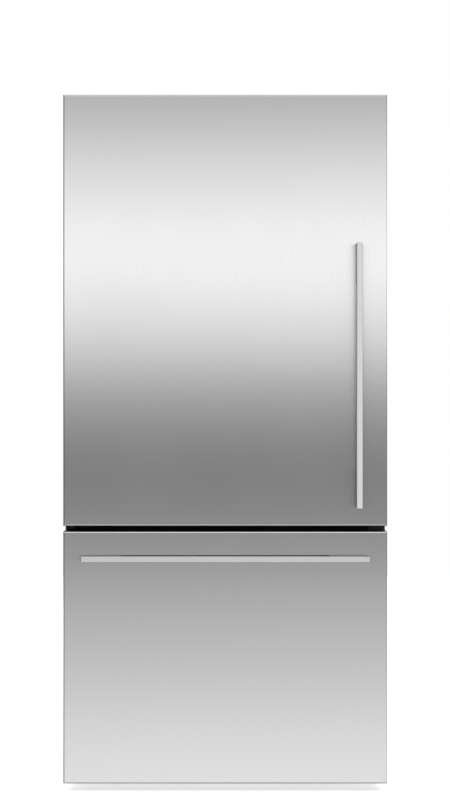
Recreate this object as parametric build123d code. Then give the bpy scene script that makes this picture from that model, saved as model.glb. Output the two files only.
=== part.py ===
from build123d import *
from math import radians, tan
import os

# Bottom-freezer refrigerator with a left-hinged door over a pull-out freezer drawer.
# Millimetres, +Z up. The origin is on the floor, under the middle of the overall footprint.
# +X is to the right of someone facing the door, which looks towards -Y.

# ---------------------------------------------------------------- driving sizes: fronts and cabinet
WIDTH = 790.0  # across the door and the drawer front
DEPTH = 695.0  # face of the door to the rear of the cabinet
FLOOR_GAP = 20.0  # floor to the drawer front
DRAWER_HEIGHT = 615.0
FRONT_GAP = 13.0  # between drawer front and door
DOOR_HEIGHT = 1052.0
FRONT_THICK = 62.0  # door and drawer front
FRONT_EDGE_RADIUS = 3.5
SKIN = 0.8  # steel skin of the fronts
LIP_DEPTH = 11.0  # the skin's folded top and bottom lips
SKIN_RETURN = 12.0  # the skin's folded rear edges
CAP_HEIGHT = 22.0  # plastic end caps of the fronts
GASKET_THICK = 12.0
GASKET_WIDTH = 16.0
GASKET_BEAD = 6.0  # magnetic bead that meets the cabinet
GASKET_STEP = 2.0  # bead narrower than its base
GASKET_INSET = 24.0  # from the edge of a front
GASKET_TOP_INSET = 37.0  # from the upper edge of the door
SHEET = 1.2  # painted steel
LINER = 2.5  # moulded plastic walls
CABINET_INSET = 1.0  # cabinet side behind the edge of the door
TOP_DROP = 25.0  # cabinet top below the top of the door
BASE_RISE = 4.0  # cabinet base above the drawer front's lower edge
SIDE_WALL = 44.0
TOP_WALL = 50.0
BACK_WALL = 70.0
FLOOR_WALL = 55.0
STEP_WALL = 50.0  # over the machine room
MULLION_HEIGHT = 97.0
CAVITY_RADIUS = 10.0
MACHINE_DEPTH = 206.0
MACHINE_HEIGHT = 215.0
MACHINE_CHAMFER = 50.0
MULLION_DEPTH = 18.0  # rail on the divider's front
SEAT = 0.3  # running gap under and beside what slides
ROOT = 1.0  # how far a small feature runs into what it grows from

# ---------------------------------------------------------------- driving sizes: hinges and handles
PIN_INSET = 18.0  # hinge pin from the door's edge
PIN_SETBACK = 30.0  # hinge pin behind the door's face
PIN_RADIUS = 4.5
PIN_DEPTH = 18.0  # pin inside the door
PIN_CLEAR = 0.05
BUSH_RADIUS = 8.0
HINGE_PLATE = 4.0
HINGE_ARM = 22.0
NOTCH_CLEAR = 2.0  # door under the top hinge arm
NOTCH_WIDTH = 50.0
NOTCH_FRONT = 12.0
TOP_PLATE_WIDTH = 56.0
TOP_PLATE_DEPTH = 80.0
MIDDLE_FLANGE_WIDTH = 58.0
MIDDLE_FLANGE_HEIGHT = 54.0
MIDDLE_FLANGE = 3.0
SCREW_RADIUS = 2.5
SCREW_HEAD = 4.5
SCREW_HEAD_HEIGHT = 2.4
SCREW_LENGTH = 12.0
HINGE_SCREW_INSET = 12.0
FLANGE_SCREW_INSET = 10.0
HINGE_BRACE = 24.0
BUSH_PAST_PIN = 4.0  # upper bush
BUSH_PAST_LOWER_PIN = 2.0
HINGE_CORNER = 3.0  # solid cap under the upper bush
HINGE_COVER_HEIGHT = 22.0
HINGE_COVER_MARGIN = 4.0
HINGE_COVER_WALL = 2.0
HINGE_COVER_EDGE = 4.0
HINGE_COVER_INSET = 1.0  # behind the cabinet's front and side
HINGE_COVER_CLEAR = 1.0  # over the hinge plate
HANDLE_REACH = 47.0  # from the door's face
HANDLE_WIDTH = 14.5
HANDLE_DEPTH = 17.0
HANDLE_EDGE = 1.6
POST_LENGTH = 96.0
POST_EASE = 0.25  # post narrower than the bar
DOOR_HANDLE_LENGTH = 645.0
DOOR_HANDLE_INSET = 69.5  # bar's middle from the door's right edge
DOOR_HANDLE_RISE = 44.0  # bar's lower end above the door's lower edge
DRAWER_HANDLE_LENGTH = 700.0
DRAWER_HANDLE_DROP = 66.0  # bar's middle below the drawer front's upper edge

# ---------------------------------------------------------------- driving sizes: fridge compartment
SHELF_COUNT = 3
SHELF_FIRST = 190.0  # first shelf above the crisper cover
SHELF_STEP = 180.0
SHELF_SETBACK = 115.0  # shelf front behind the cabinet front
SHELF_THICK = 14.0
SHELF_TRIM = 14.0
SHELF_SIDE = 2.0  # shelf from the side wall and the duct
SHELF_EDGE = 3.0
GLASS = 4.0
LEDGE = 12.0
LEDGE_THICK = 8.0
LEDGE_REAR = 6.0  # ledge in front of the duct
DUCT_WIDTH = 180.0
DUCT_DEPTH = 14.0
DUCT_MARGIN = 26.0
DUCT_WALL = 2.0
DUCT_EDGE = 3.0
DUCT_SLOTS = 3
DUCT_SLOT_RISE = 60.0  # lowest slot above a shelf
DUCT_SLOT_STEP = 14.0
DUCT_SLOT_HEIGHT = 5.0
DUCT_SLOT_INNER = 14.0
DUCT_SLOT_LENGTH = 48.0
CRISPER_HEIGHT = 185.0
CRISPER_DEPTH = 325.0
CRISPER_SETBACK = 132.0
CRISPER_RADIUS = 10.0
CRISPER_LIP = 12.0
CRISPER_LIP_THICK = 4.0
CRISPER_HOOK = 3.0
CRISPER_HOOK_DROP = 20.0
CRISPER_SHELF_RISE = 200.0
CRISPER_GAP = 8.0  # between the two crispers
CRISPER_DIVIDER = 6.0
CRISPER_SIDE = 11.0  # crisper from the side wall
CRISPER_BAR_DROP = 6.0  # front bar under the cover
CRISPER_BAR_RISE = 4.0  # front bar over the cover
SLIDER_TRAVEL = 30.0
SLIDER_RISE = 8.0  # above the cover's lower face
SLIDER_SLOT = 8.0  # slot into the bar
SLIDER_STEM = 8.0
SLIDER_HEIGHT = 6.0
KNOB_WIDTH = 20.0
KNOB_DEPTH = 5.0
KNOB_HEIGHT = 14.0
KNOB_EDGE = 1.5
PANEL_WIDTH = 300.0
PANEL_DEPTH = 120.0
PANEL_HEIGHT = 24.0
PANEL_SETBACK = 67.0
PANEL_RADIUS = 6.0
DISPLAY_X = -110.0
DISPLAY_WIDTH = 126.0
DISPLAY_DEPTH = 1.5
DISPLAY_EDGE = 5.0
LAMP_SIDE = 25.0
LAMP_FRONT = 45.0
LAMP_REAR = 12.0
LAMP_DEPTH = 6.0
BUTTON_X = 40.0
BUTTON_RADIUS = 5.0
BUTTON_PITCH = 30.0
BUTTON_COUNT = 2
BUTTON_PROUD = 2.0
BUTTON_LENGTH = 9.0
BUTTON_ROOM = 1.0  # behind the button
BUTTON_EDGE = 0.8

# ---------------------------------------------------------------- driving sizes: inside of the door
RIDGE_SIDE = 10.0  # door ridge from the cavity's side wall
RIDGE_END = 12.0  # door ridge from the cavity's floor and ceiling
RIDGE_BAND = 28.0
RIDGE_DEPTH = 70.0
RIDGE_RADIUS = 12.0
BIN_DEPTH = 112.0
BIN_SHALLOW = 66.0
BIN_HEIGHT = 90.0
BIN_WALL = 2.5
BIN_SIDE = 9.0  # bin from the ridge
BIN_RADIUS = 8.0
BIN_LEVELS = {"bottom": 40.0, "lower": 238.0, "upper": 498.0}  # above the ridge's lower edge
BIN_DEPTHS = {"bottom": BIN_SHALLOW, "lower": BIN_DEPTH, "upper": BIN_DEPTH}
LUG_HEIGHT = 15.0
LUG_LENGTH = 36.0
LUG_RISE = 25.0
LUG_GAP = 1.0  # from the bin's side
EAR_HEIGHT = 16.0
DAIRY_LEVEL = 768.0
DAIRY_WIDTH = 298.0
DAIRY_HEIGHT = 100.0
DAIRY_DEPTH = 90.0
FLAP = 3.0
FLAP_PIN = 2.5
FLAP_PIN_DROP = 8.0
FLAP_CHEEK = 3.0  # cheek past the flap
FLAP_FOOT = 2.0
FLAP_HEAD = 4.0
FLAP_END = 0.4  # pin short of the cheek's outside
FLAP_LIP = 9.0
FLAP_LIP_THICK = 4.0
FLAP_LIP_INSET = 90.0

# ---------------------------------------------------------------- driving sizes: freezer drawer
DRAWER_RIDGE_DEPTH = 22.0
DRAWER_RIDGE_BAND = 26.0
DRAWER_RIDGE_SIDE = 12.0
RUNNER_RISE = 239.0  # runner above the freezer floor
RUNNER_HEIGHT = 46.0
RUNNER_DEPTH = 14.0
RUNNER_SHEET = 1.6
RUNNER_CLEAR = 0.4
RUNNER_REAR = 51.8  # in front of the evaporator's cover
RUNNER_SETBACK = 3.0  # behind the drawer's inner ridge
RUNNER_SHORTER = 40.0  # middle and drawer members
RUNNER_FOLD = 2.0  # middle member's fold short of the drawer member's web
WEB_GAP = 4.0  # drawer member's web from the fixed runner
RAIL_THICK = 6.0
RAIL_HEIGHT = 47.0
RAIL_OVERLAP = 7.0  # rail's foot above the runner's
RAIL_FOOT = 14.0
RAIL_FOOT_THICK = 3.0
RAIL_FOOT_DROP = 8.0
BASKET_HEIGHT = 272.0
BASKET_FRONT = 9.0  # behind the drawer's inner ridge
BASKET_REAR = 16.8  # in front of the wall over the machine room
BASKET_SIDE = 8.0  # basket from its rail
BASKET_LIP = 3.0
BASKET_RADIUS = 14.0
BASKET_SLOTS = 14
SLOT = 6.0
SLOT_RISE = 60.0
SLOT_HEIGHT = 130.0
SLOT_MARGIN = 30.0
TRAY_DEPTH = 200.0
TRAY_HEIGHT = 90.0
TRAY_OVERHANG = 6.0  # beside the basket
TRAY_SETBACK = 4.0
TRAY_RADIUS = 12.0
PULL_WIDTH = 120.0
PULL_REACH = 8.0
PULL_THICK = 8.0
EVAP_COVER_GAP = 67.0  # cover in front of the rear wall
EVAP_COVER = 3.0
RETURN_SLOTS = 16
RETURN_SLOT_PITCH = 36.0
RETURN_SLOT_WIDTH = 24.0
RETURN_SLOT_HEIGHT = 8.0
RETURN_SLOT_RISE = 8.0
FAN_RING_FIRST = 14.0
FAN_RING_STEP = 11.0
FAN_RING_COUNT = 4
FAN_RING = 4.0
EVAP_SIDE = 60.0  # coil from the side wall
EVAP_HEIGHT = 150.0
EVAP_RISE = 32.0  # above the freezer's raised rear floor
EVAP_ROWS = 5
EVAP_TUBE = 4.0
EVAP_FINS = 30
EVAP_FIN = 0.8
EVAP_COLUMN_FIRST = 20.0  # first column of tubes behind the cover
EVAP_COLUMN_STEP = 28.0
FIN_FRONT = 8.0
FIN_REAR = 6.0
FIN_SIDE = 22.0  # end plates in from the tubes' bends
FIN_END = 4.0  # end plates past the fins
EVAP_FAN_RADIUS = 48.0
EVAP_FAN_DROP = 16.0
EVAP_FAN_SETBACK = 18.0
EVAP_FAN_DEPTH = 12.0
EVAP_HUB = 15.0
EVAP_SHAFT = 2.0
EVAP_MOTOR_SETBACK = 38.0
SHAFT_IN_MOTOR = 6.0
MOTOR_RADIUS = 22.0
MOTOR_BORE = 14.0
MOTOR_PLATE = 4.0
MOTOR_PLATE_WIDTH = 100.0
MOTOR_PLATE_HEIGHT = 24.0
FAN_BLADES = 5
FAN_PITCH = 28.0  # degrees
FAN_BLADE = 1.6
FAN_CHORD = 1.7  # blade's width over the fan's depth
FAN_ROOT = 3.0
FAN_TIP_CLEAR = 4.0

# ---------------------------------------------------------------- driving sizes: machine room and base
PAN_HEIGHT = 38.0  # machine room's floor
PAN = 1.5
COMPRESSOR_RADIUS = 72.0
COMPRESSOR_HEIGHT = 150.0
COMPRESSOR_SIDE = 152.8  # middle from the cabinet's left side
COMPRESSOR_EDGE = 34.0
COMPRESSOR_LIFT = 1.0  # pot above the plate's foot
SEAM_PROUD = 2.5
SEAM_RISE = 72.0
SEAM_HEIGHT = 6.0
BOLT_X = 72.0  # bolts from the compressor's middle
BOLT_Y = 52.0
BOLT_MARGIN = 14.0
FOOT_PLATE_RADIUS = 12.0
TERMINAL_REACH = 24.0
TERMINAL_ROOT = 12.0
TERMINAL_WIDTH = 48.0
TERMINAL_RISE = 50.0
TERMINAL_HEIGHT = 54.0
FOOT_PLATE = 3.0
GROMMET_HEIGHT = 15.0
GROMMET_RADIUS = 12.0
BOLT_RADIUS = 4.0
BOLT_HEAD = 7.0
BOLT_HEAD_HEIGHT = 5.0
CONDENSER_SIDE = 272.8  # first plane from the cabinet's right side
CONDENSER_RISE = 38.0
CONDENSER_REAR = 20.0
CONDENSER_FRONT = 16.0
CONDENSER_JOINT = 48.0  # joint with the discharge pipe, from the rear
CONDENSER_PLATE = 1.5
CONDENSER_PLATE_EDGE = 14.0
CONDENSER_PLATE_FRONT = 36.0
CONDENSER_PLATE_REAR = 42.0
CONDENSER_PLATE_DROP = 14.0
DISCHARGE_X = 24.0  # pipe from the compressor's middle
DISCHARGE_Y = 20.0
DISCHARGE_REAR = 19.0
CONDENSER_PLANES = 6
CONDENSER_ROWS = 6
CONDENSER_PITCH = 26.0
CONDENSER_TUBE = 3.0
MACHINE_FAN_RADIUS = 62.0
MACHINE_FAN_RISE = 34.0
MACHINE_FAN_DEPTH = 20.0
MACHINE_FAN_GAP = 25.0  # fan's middle from the shroud
MACHINE_HUB = 18.0
MACHINE_SHAFT = 2.5
MACHINE_SHAFT_LENGTH = 12.0
MACHINE_MOTOR_NEAR = 14.0  # motor from the fan's middle
MACHINE_MOTOR_LENGTH = 48.0
MACHINE_MOTOR_BORE = 10.0
SHROUD_GAP = 75.0  # shroud from the condenser's first plane
SHROUD = 2.0
SHROUD_FRONT = 28.0
SHROUD_REAR = 16.0
MOTOR_RING_GAP = 30.0  # motor's ring from the fan's middle
MOTOR_RING = 4.0
ARM = 3.0
ARM_WIDTH = 8.0
ARM_CLEAR = 5.0  # from the fan's tips
TRAY_WALL = 2.0
DRIP_HEIGHT = 16.0
DRIP_SIDE = 20.0
DRIP_FRONT = 42.0
DRIP_REAR = 46.0
DRIP_RADIUS = 8.0
SHROUD_DROP = 22.0
PIPE_BEND = 9.0
PIPE_BEND_SHARE = 0.45  # bend's radius over the pitch of a coil's runs
COVER_RISE = 6.0
COVER_SLOTS = 20
COVER_SLOT_PITCH = 30.0
COVER_SLOT_WIDTH = 6.0
COVER_SLOT_HEIGHT = 50.0
COVER_SLOT_DROPS = (150.0, 80.0)
GLAND_SIDE = 60.0
GLAND_RISE = 24.0
GLAND_FLANGE = 4.0
GLAND_FLANGE_THICK = 3.0
GLAND_RADIUS = 9.0
GLAND_BORE = 4.5
BOARD_WIDTH = 260.0
BOARD_HEIGHT = 150.0
BOARD_DEPTH = 40.0
BOARD_RISE = 621.0  # middle above the machine room
BOARD_MARGIN = 12.0
BOARD_SHEET = 2.0
STANDOFF = 6.0
STANDOFF_RADIUS = 3.0
STANDOFF_INSET = 8.0
CHIP_PLACES = (-90.0, -50.0, 40.0)
CHIP = (26.0, 16.0, 26.0)
CHIP_DROP = 30.0
CAN_PLACES = (-70.0, -40.0, 10.0, 60.0)
CAN_RADIUS = 9.0
CAN_HEIGHT = 20.0
CAN_RISE = 26.0
FOOT_SIDE = 64.0  # foot from the cabinet's side
FOOT_SETBACK = 80.0  # foot behind the cabinet's front
FOOT_EDGE = 3.0
NUT_HEIGHT = 6.0
NUT_RADIUS = 10.0
FOOT_RADIUS = 20.0
FOOT_PAD = 10.0
STEM_RADIUS = 5.0
STEM_TOP = 56.0
SOCKET_RADIUS = 12.0
SOCKET_ROOF = 6.0  # socket above the stem
STEM_ROOM = 2.0
ROLLER_RADIUS = 17.0
ROLLER_WIDTH = 22.0
ROLLER_SIDE = 26.0  # roller's middle from the cabinet's side
ROLLER_EDGE = 1.5
ROLLER_SETBACK = 34.0
AXLE_RADIUS = 4.0
AXLE_CLEAR = 0.05
CHEEK = 2.0
CHEEK_HALF = 12.0
CHEEK_DROP = 8.0  # under the axle
BRACKET_HALF = 18.0
GRILLE_SETBACK = 134.0
GRILLE_SIDE = 94.0  # grille's end from the cabinet's side
GRILLE_SLOTS = 21
GRILLE_PITCH = 26.0
GRILLE_SLOT_WIDTH = 18.0
GRILLE_SLOT_RISE = 6.0
GRILLE_SLOT_HEIGHT = 3.0
GRILLE_THICK = 4.0
GRILLE_FLOOR_GAP = 4.0

# ---------------------------------------------------------------- places worked out from the sizes
X_FRONT = WIDTH / 2
X_CABINET = X_FRONT - CABINET_INSET
X_CAVITY = X_CABINET - SIDE_WALL
X_LINER = X_CAVITY + LINER
X_INSIDE = X_CABINET - SHEET
Y_BACK = (DEPTH + HANDLE_REACH) / 2
Y_FACE = Y_BACK - DEPTH
Y_REAR = Y_FACE + FRONT_THICK
Y_INNER = Y_REAR - SKIN  # rear face of the fronts' liners
Y_LINER = Y_INNER - LINER
Y_CABINET = Y_REAR + GASKET_THICK
Y_CAVITY = Y_BACK - BACK_WALL
Y_MACHINE = Y_BACK - MACHINE_DEPTH
Y_MACHINE_MIDDLE = (Y_MACHINE + Y_BACK) / 2
Z_DRAWER_TOP = FLOOR_GAP + DRAWER_HEIGHT
Z_DOOR = Z_DRAWER_TOP + FRONT_GAP
Z_DOOR_TOP = Z_DOOR + DOOR_HEIGHT
Z_BASE = FLOOR_GAP + BASE_RISE
Z_TOP = Z_DOOR_TOP - TOP_DROP
Z_GAP = Z_DRAWER_TOP + FRONT_GAP / 2
Z_FREEZER = Z_BASE + FLOOR_WALL
Z_FREEZER_TOP = Z_GAP - MULLION_HEIGHT / 2
Z_FRIDGE = Z_GAP + MULLION_HEIGHT / 2
Z_FRIDGE_TOP = Z_TOP - TOP_WALL
Z_MACHINE = Z_BASE + MACHINE_HEIGHT
Z_STEP = Z_MACHINE + STEP_WALL
Z_PAN = PAN_HEIGHT + PAN
X_PIN = -X_FRONT + PIN_INSET
Y_PIN = Y_FACE + PIN_SETBACK
Z_NOTCH = Z_TOP - NOTCH_CLEAR
TOP_BUSH = (Z_NOTCH - PIN_DEPTH - BUSH_PAST_PIN, Z_NOTCH)
BOTTOM_BUSH = (Z_DOOR, Z_DOOR + PIN_DEPTH + BUSH_PAST_LOWER_PIN)
X_RIDGE = X_CAVITY - RIDGE_SIDE
Z_RIDGE = Z_FRIDGE + RIDGE_END
Z_RIDGE_TOP = Z_FRIDGE_TOP - RIDGE_END
X_BIN = X_RIDGE - RIDGE_BAND - BIN_SIDE
Y_SHELF = Y_CABINET + SHELF_SETBACK
Z_CRISPER_SHELF = Z_FRIDGE + CRISPER_SHELF_RISE
SHELF_LEVELS = [Z_CRISPER_SHELF + SHELF_FIRST + i * SHELF_STEP for i in range(SHELF_COUNT)]
Y_DUCT = Y_CAVITY - DUCT_DEPTH
Z_RUNNER = Z_FREEZER + RUNNER_RISE
X_MIDDLE = X_CAVITY - RUNNER_SHEET - RUNNER_CLEAR
X_DRAWER_MEMBER = X_MIDDLE - RUNNER_SHEET - RUNNER_CLEAR
X_WEB = X_CAVITY - RUNNER_DEPTH - WEB_GAP
Y_DRAWER_RIDGE = Y_INNER + DRAWER_RIDGE_DEPTH
Z_RAIL = Z_RUNNER + RAIL_OVERLAP
Z_RIM = Z_RAIL + RAIL_HEIGHT
X_RAIL = X_WEB - RAIL_THICK
Y_BASKET = (Y_DRAWER_RIDGE + BASKET_FRONT, Y_MACHINE - STEP_WALL - BASKET_REAR)
Y_EVAP_COVER = Y_CAVITY - EVAP_COVER_GAP
Y_EVAP_FAN = Y_EVAP_COVER + EVAP_FAN_SETBACK
EVAP_MOTOR = (Y_EVAP_COVER + EVAP_MOTOR_SETBACK, Y_CAVITY)
Y_RUNNER = (Y_DRAWER_RIDGE + RUNNER_SETBACK, Y_EVAP_COVER - RUNNER_REAR)
MEMBER_LENGTH = Y_RUNNER[1] - Y_RUNNER[0] - RUNNER_SHORTER
X_COMPRESSOR = COMPRESSOR_SIDE - X_INSIDE
X_CONDENSER = X_INSIDE - CONDENSER_SIDE
X_SHROUD = X_CONDENSER - SHROUD_GAP
X_MACHINE_FAN = X_SHROUD - MACHINE_FAN_GAP
X_FOOT = X_CABINET - FOOT_SIDE
Y_FOOT = Y_CABINET + FOOT_SETBACK
X_ROLLER = X_CABINET - ROLLER_SIDE
Z_BOARD = Z_MACHINE + BOARD_RISE
BEYOND = 1.0  # how far a cutting block runs past what it cuts


# ---------------------------------------------------------------- small helpers
def block(x, y, z):
    """A box from its span along each axis."""
    size = [high - low for low, high in (x, y, z)]
    return Pos(*[(low + high) / 2 for low, high in (x, y, z)]) * Box(*size)


def rod(axis, at, radius, span):
    """A cylinder along "x", "y" or "z" over span; at holds its other two coordinates."""
    middle, solid = (span[0] + span[1]) / 2, Cylinder(radius, span[1] - span[0])
    if axis == "x":
        return Pos(middle, *at) * Rot(0, 90, 0) * solid
    if axis == "y":
        return Pos(at[0], middle, at[1]) * Rot(90, 0, 0) * solid
    return Pos(*at, middle) * solid


def ring(axis, at, radius, bore, span):
    """A round sleeve."""
    return rod(axis, at, radius, span) - rod(axis, at, bore, (span[0] - BEYOND, span[1] + BEYOND))


def other_side(piece):
    """The same piece on the left of the middle plane."""
    return mirror(piece, about=Plane.YZ)


def rounded(solid, axis, radius):
    """The solid with its edges along one axis rounded."""
    return fillet(solid.edges().filter_by(axis), radius)


def open_box(x, y, z, wall, radius):
    """A bin that is open at the top, with rounded upright corners."""
    outer = rounded(block(x, y, z), Axis.Z, radius)
    inside = block((x[0] + wall, x[1] - wall), (y[0] + wall, y[1] - wall), (z[0] + wall, z[1] + BEYOND))
    return outer - rounded(inside, Axis.Z, radius - wall / 2)


def pipe(points, radius, bend):
    """A round tube along straight runs joined by tangent arcs."""
    path = FilletPolyline(*points, radius=bend)
    return sweep(Plane(path @ 0, z_dir=path % 0) * Circle(radius), path=path)


def screw(axis, at, seat, sign):
    """A screw whose head lies on seat, on the side that sign points to."""
    head = rod(axis, at, SCREW_HEAD, sorted((seat, seat + sign * SCREW_HEAD_HEIGHT)))
    return head + rod(axis, at, SCREW_RADIUS, sorted((seat, seat - sign * SCREW_LENGTH)))


def screw_hole(axis, at, seat):
    """The room that a screw's shank needs."""
    reach = SCREW_LENGTH + BEYOND
    return rod(axis, at, SCREW_RADIUS + PIN_CLEAR, (seat - reach, seat + reach))


def fan(radius, hub, depth, shaft, shaft_length):
    """An axial fan about Z with its shaft running down from the hub."""
    reach = radius - hub + FAN_ROOT
    place = Pos(hub - FAN_ROOT + reach / 2, 0, 0) * Rot(FAN_PITCH, 0, 0)
    blade = place * Box(reach, FAN_CHORD * depth, FAN_BLADE)
    turns = [Rot(0, 0, 360 * i / FAN_BLADES) * blade for i in range(FAN_BLADES)]
    swept = Cylinder(radius, 2 * depth) & (Part() + turns)
    shaft_part = rod("z", (0, 0), shaft, (-depth / 2 - shaft_length, 0))
    return Cylinder(hub, depth) + swept + shaft_part


def machine_profile(grow):
    """The machine room's outline from the side, grown by a thickness, as a solid right across."""
    slope = grow * tan(radians(22.5))
    points = [
        (Y_MACHINE - grow, Z_BASE - BEYOND),
        (Y_MACHINE - grow, Z_MACHINE - MACHINE_CHAMFER + slope),
        (Y_MACHINE + MACHINE_CHAMFER - slope, Z_MACHINE + grow),
        (Y_BACK + BEYOND, Z_MACHINE + grow),
        (Y_BACK + BEYOND, Z_BASE - BEYOND),
    ]
    outline = Plane.YZ * make_face(Polyline(*points, close=True))
    return Pos(-X_FRONT, 0, 0) * extrude(outline, WIDTH)


# ---------------------------------------------------------------- cabinet
def top_hinge_screws():
    x = X_PIN - HINGE_ARM / 2 + TOP_PLATE_WIDTH - HINGE_SCREW_INSET
    y = Y_CABINET + TOP_PLATE_DEPTH - HINGE_SCREW_INSET
    return [(x, y), (x, Y_CABINET + TOP_PLATE_DEPTH / 2), (X_PIN, y)]


def middle_hinge_screws():
    x = X_PIN - HINGE_ARM / 2 + MIDDLE_FLANGE_WIDTH - FLANGE_SCREW_INSET
    rise = MIDDLE_FLANGE_HEIGHT / 2 - FLANGE_SCREW_INSET
    return [(x, Z_GAP - rise), (x, Z_GAP + rise), (X_PIN, Z_GAP - rise)]


def cabinet_holes():
    top = [screw_hole("z", at, Z_TOP + HINGE_PLATE) for at in top_hinge_screws()]
    return top + [screw_hole("y", at, Y_CABINET - MIDDLE_FLANGE) for at in middle_hinge_screws()]


def cabinet_shell():
    """Sides and top in one bent sheet, with a front flange round the openings."""
    outer = block((-X_CABINET, X_CABINET), (Y_CABINET, Y_BACK), (Z_BASE, Z_TOP))
    below = Z_BASE - BEYOND
    hollow = block((-X_INSIDE, X_INSIDE), (Y_CABINET + SHEET, Y_BACK + BEYOND), (below, Z_TOP - SHEET))
    mouth = block((-X_LINER, X_LINER), (Y_CABINET - BEYOND, Y_CAVITY), (below, Z_FRIDGE_TOP + LINER))
    return outer - hollow - mouth - cabinet_holes()


def board_window(y):
    """The control board's opening in the back, over a depth."""
    x, z = BOARD_WIDTH / 2, BOARD_HEIGHT / 2
    return block((-x, x), y, (Z_BOARD - z, Z_BOARD + z))


def back_panel():
    sheet = block((-X_INSIDE, X_INSIDE), (Y_BACK - SHEET, Y_BACK), (Z_MACHINE + SHEET, Z_TOP - SHEET))
    return sheet - board_window((Y_BACK - 2 * SHEET, Y_BACK + BEYOND))


def base_plate():
    """Bottom sheet with a front upstand under the freezer."""
    floor = block((-X_INSIDE, X_INSIDE), (Y_CABINET + SHEET, Y_MACHINE - SHEET), (Z_BASE, Z_BASE + SHEET))
    upstand = block((-X_LINER, X_LINER), (Y_CABINET, Y_CABINET + SHEET), (Z_BASE, Z_FREEZER - LINER))
    stems = [rod("z", (s * X_FOOT, Y_FOOT), STEM_RADIUS + SEAT, (0, STEM_TOP)) for s in (-1, 1)]
    return floor + upstand - stems


def machine_step():
    """Bent sheet between the machine room and the insulation."""
    room = block((-X_INSIDE, X_INSIDE), (Y_MACHINE - SHEET, Y_BACK), (Z_BASE, Z_MACHINE + SHEET))
    return (room & machine_profile(SHEET)) - machine_profile(0)


def fridge_walls():
    """The fridge compartment with its liner, as one solid."""
    y, z = (Y_CABINET, Y_CAVITY + LINER), (Z_FRIDGE - LINER, Z_FRIDGE_TOP + LINER)
    return block((-X_LINER, X_LINER), y, z)


def fridge_space():
    """Room inside the fridge compartment, rounded where its walls meet."""
    y = (Y_CABINET - BEYOND, Y_CAVITY)
    space = block((-X_CAVITY, X_CAVITY), y, (Z_FRIDGE, Z_FRIDGE_TOP))
    mouth = space.faces().sort_by(Axis.Y)[0].edges()
    return fillet([edge for edge in space.edges() if edge not in mouth], CAVITY_RADIUS)


def freezer_walls():
    """The freezer compartment with its liner, as one solid, stepped over the machine room."""
    y, z = (Y_CABINET, Y_CAVITY + LINER), (Z_FREEZER - LINER, Z_FREEZER_TOP + LINER)
    return block((-X_LINER, X_LINER), y, z) - machine_profile(STEP_WALL - LINER)


def freezer_space():
    """Room inside the freezer compartment."""
    y = (Y_CABINET - BEYOND, Y_CAVITY)
    return block((-X_CAVITY, X_CAVITY), y, (Z_FREEZER, Z_FREEZER_TOP)) - machine_profile(STEP_WALL)


def fridge_liner():
    """Moulded fridge compartment with the ledges that carry the shelves."""
    y = (Y_SHELF + SHELF_TRIM + SEAT, Y_DUCT - LEDGE_REAR)
    ledges = []
    for level in [Z_CRISPER_SHELF] + SHELF_LEVELS:
        ledge = block((X_CAVITY - LEDGE, X_CAVITY + LINER / 2), y, (level - LEDGE_THICK, level))
        ledges += [ledge, other_side(ledge)]
    return fridge_walls() - fridge_space() + ledges


def freezer_liner():
    return freezer_walls() - freezer_space()


def mullion_channel():
    """Sheet channel across the divider's front, between the two liners."""
    z = (Z_FREEZER_TOP + LINER, Z_FRIDGE - LINER)
    rail = block((-X_LINER, X_LINER), (Y_CABINET, Y_CABINET + MULLION_DEPTH), z)
    y = (Y_CABINET + SHEET, Y_CABINET + MULLION_DEPTH + BEYOND)
    return rail - block((-WIDTH, WIDTH), y, (z[0] + SHEET, z[1] - SHEET))


def mullion_rail():
    """The channel with the middle hinge's screw holes."""
    return mullion_channel() - cabinet_holes()


def board_space(grow):
    x, z = BOARD_WIDTH / 2 + grow, BOARD_HEIGHT / 2 + grow
    return block((-x, x), (Y_BACK - BOARD_DEPTH - grow, Y_BACK), (Z_BOARD - z, Z_BOARD + z))


def socket(side):
    return rod("z", (side * X_FOOT, Y_FOOT), SOCKET_RADIUS, (Z_BASE + SHEET, STEM_TOP + SOCKET_ROOF))


def cabinet_foam():
    """Insulation that fills the walls."""
    y, z = (Y_CABINET + SHEET, Y_BACK - SHEET), (Z_BASE + SHEET, Z_TOP - SHEET)
    walls = block((-X_INSIDE, X_INSIDE), y, z)
    spaces = [fridge_walls(), freezer_walls(), machine_profile(SHEET), board_space(LINER)]
    return walls - spaces - mullion_channel() - [socket(-1), socket(1)] - cabinet_holes()


# ---------------------------------------------------------------- hinges
def top_hinge():
    """Plate on the cabinet, an arm over the door's notch and a pin down into the door."""
    x = (X_PIN - HINGE_ARM / 2, X_PIN - HINGE_ARM / 2 + TOP_PLATE_WIDTH)
    z = (Z_TOP, Z_TOP + HINGE_PLATE)
    plate = block(x, (Y_CABINET, Y_CABINET + TOP_PLATE_DEPTH), z)
    arm = block((x[0], x[0] + HINGE_ARM), (Y_PIN, Y_CABINET), z)
    nose = rod("z", (X_PIN, Y_PIN), HINGE_ARM / 2, z)
    pin = rod("z", (X_PIN, Y_PIN), PIN_RADIUS, (Z_NOTCH - PIN_DEPTH, z[1]))
    return plate + arm + nose + pin - [screw_hole("z", at, z[1]) for at in top_hinge_screws()]


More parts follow.
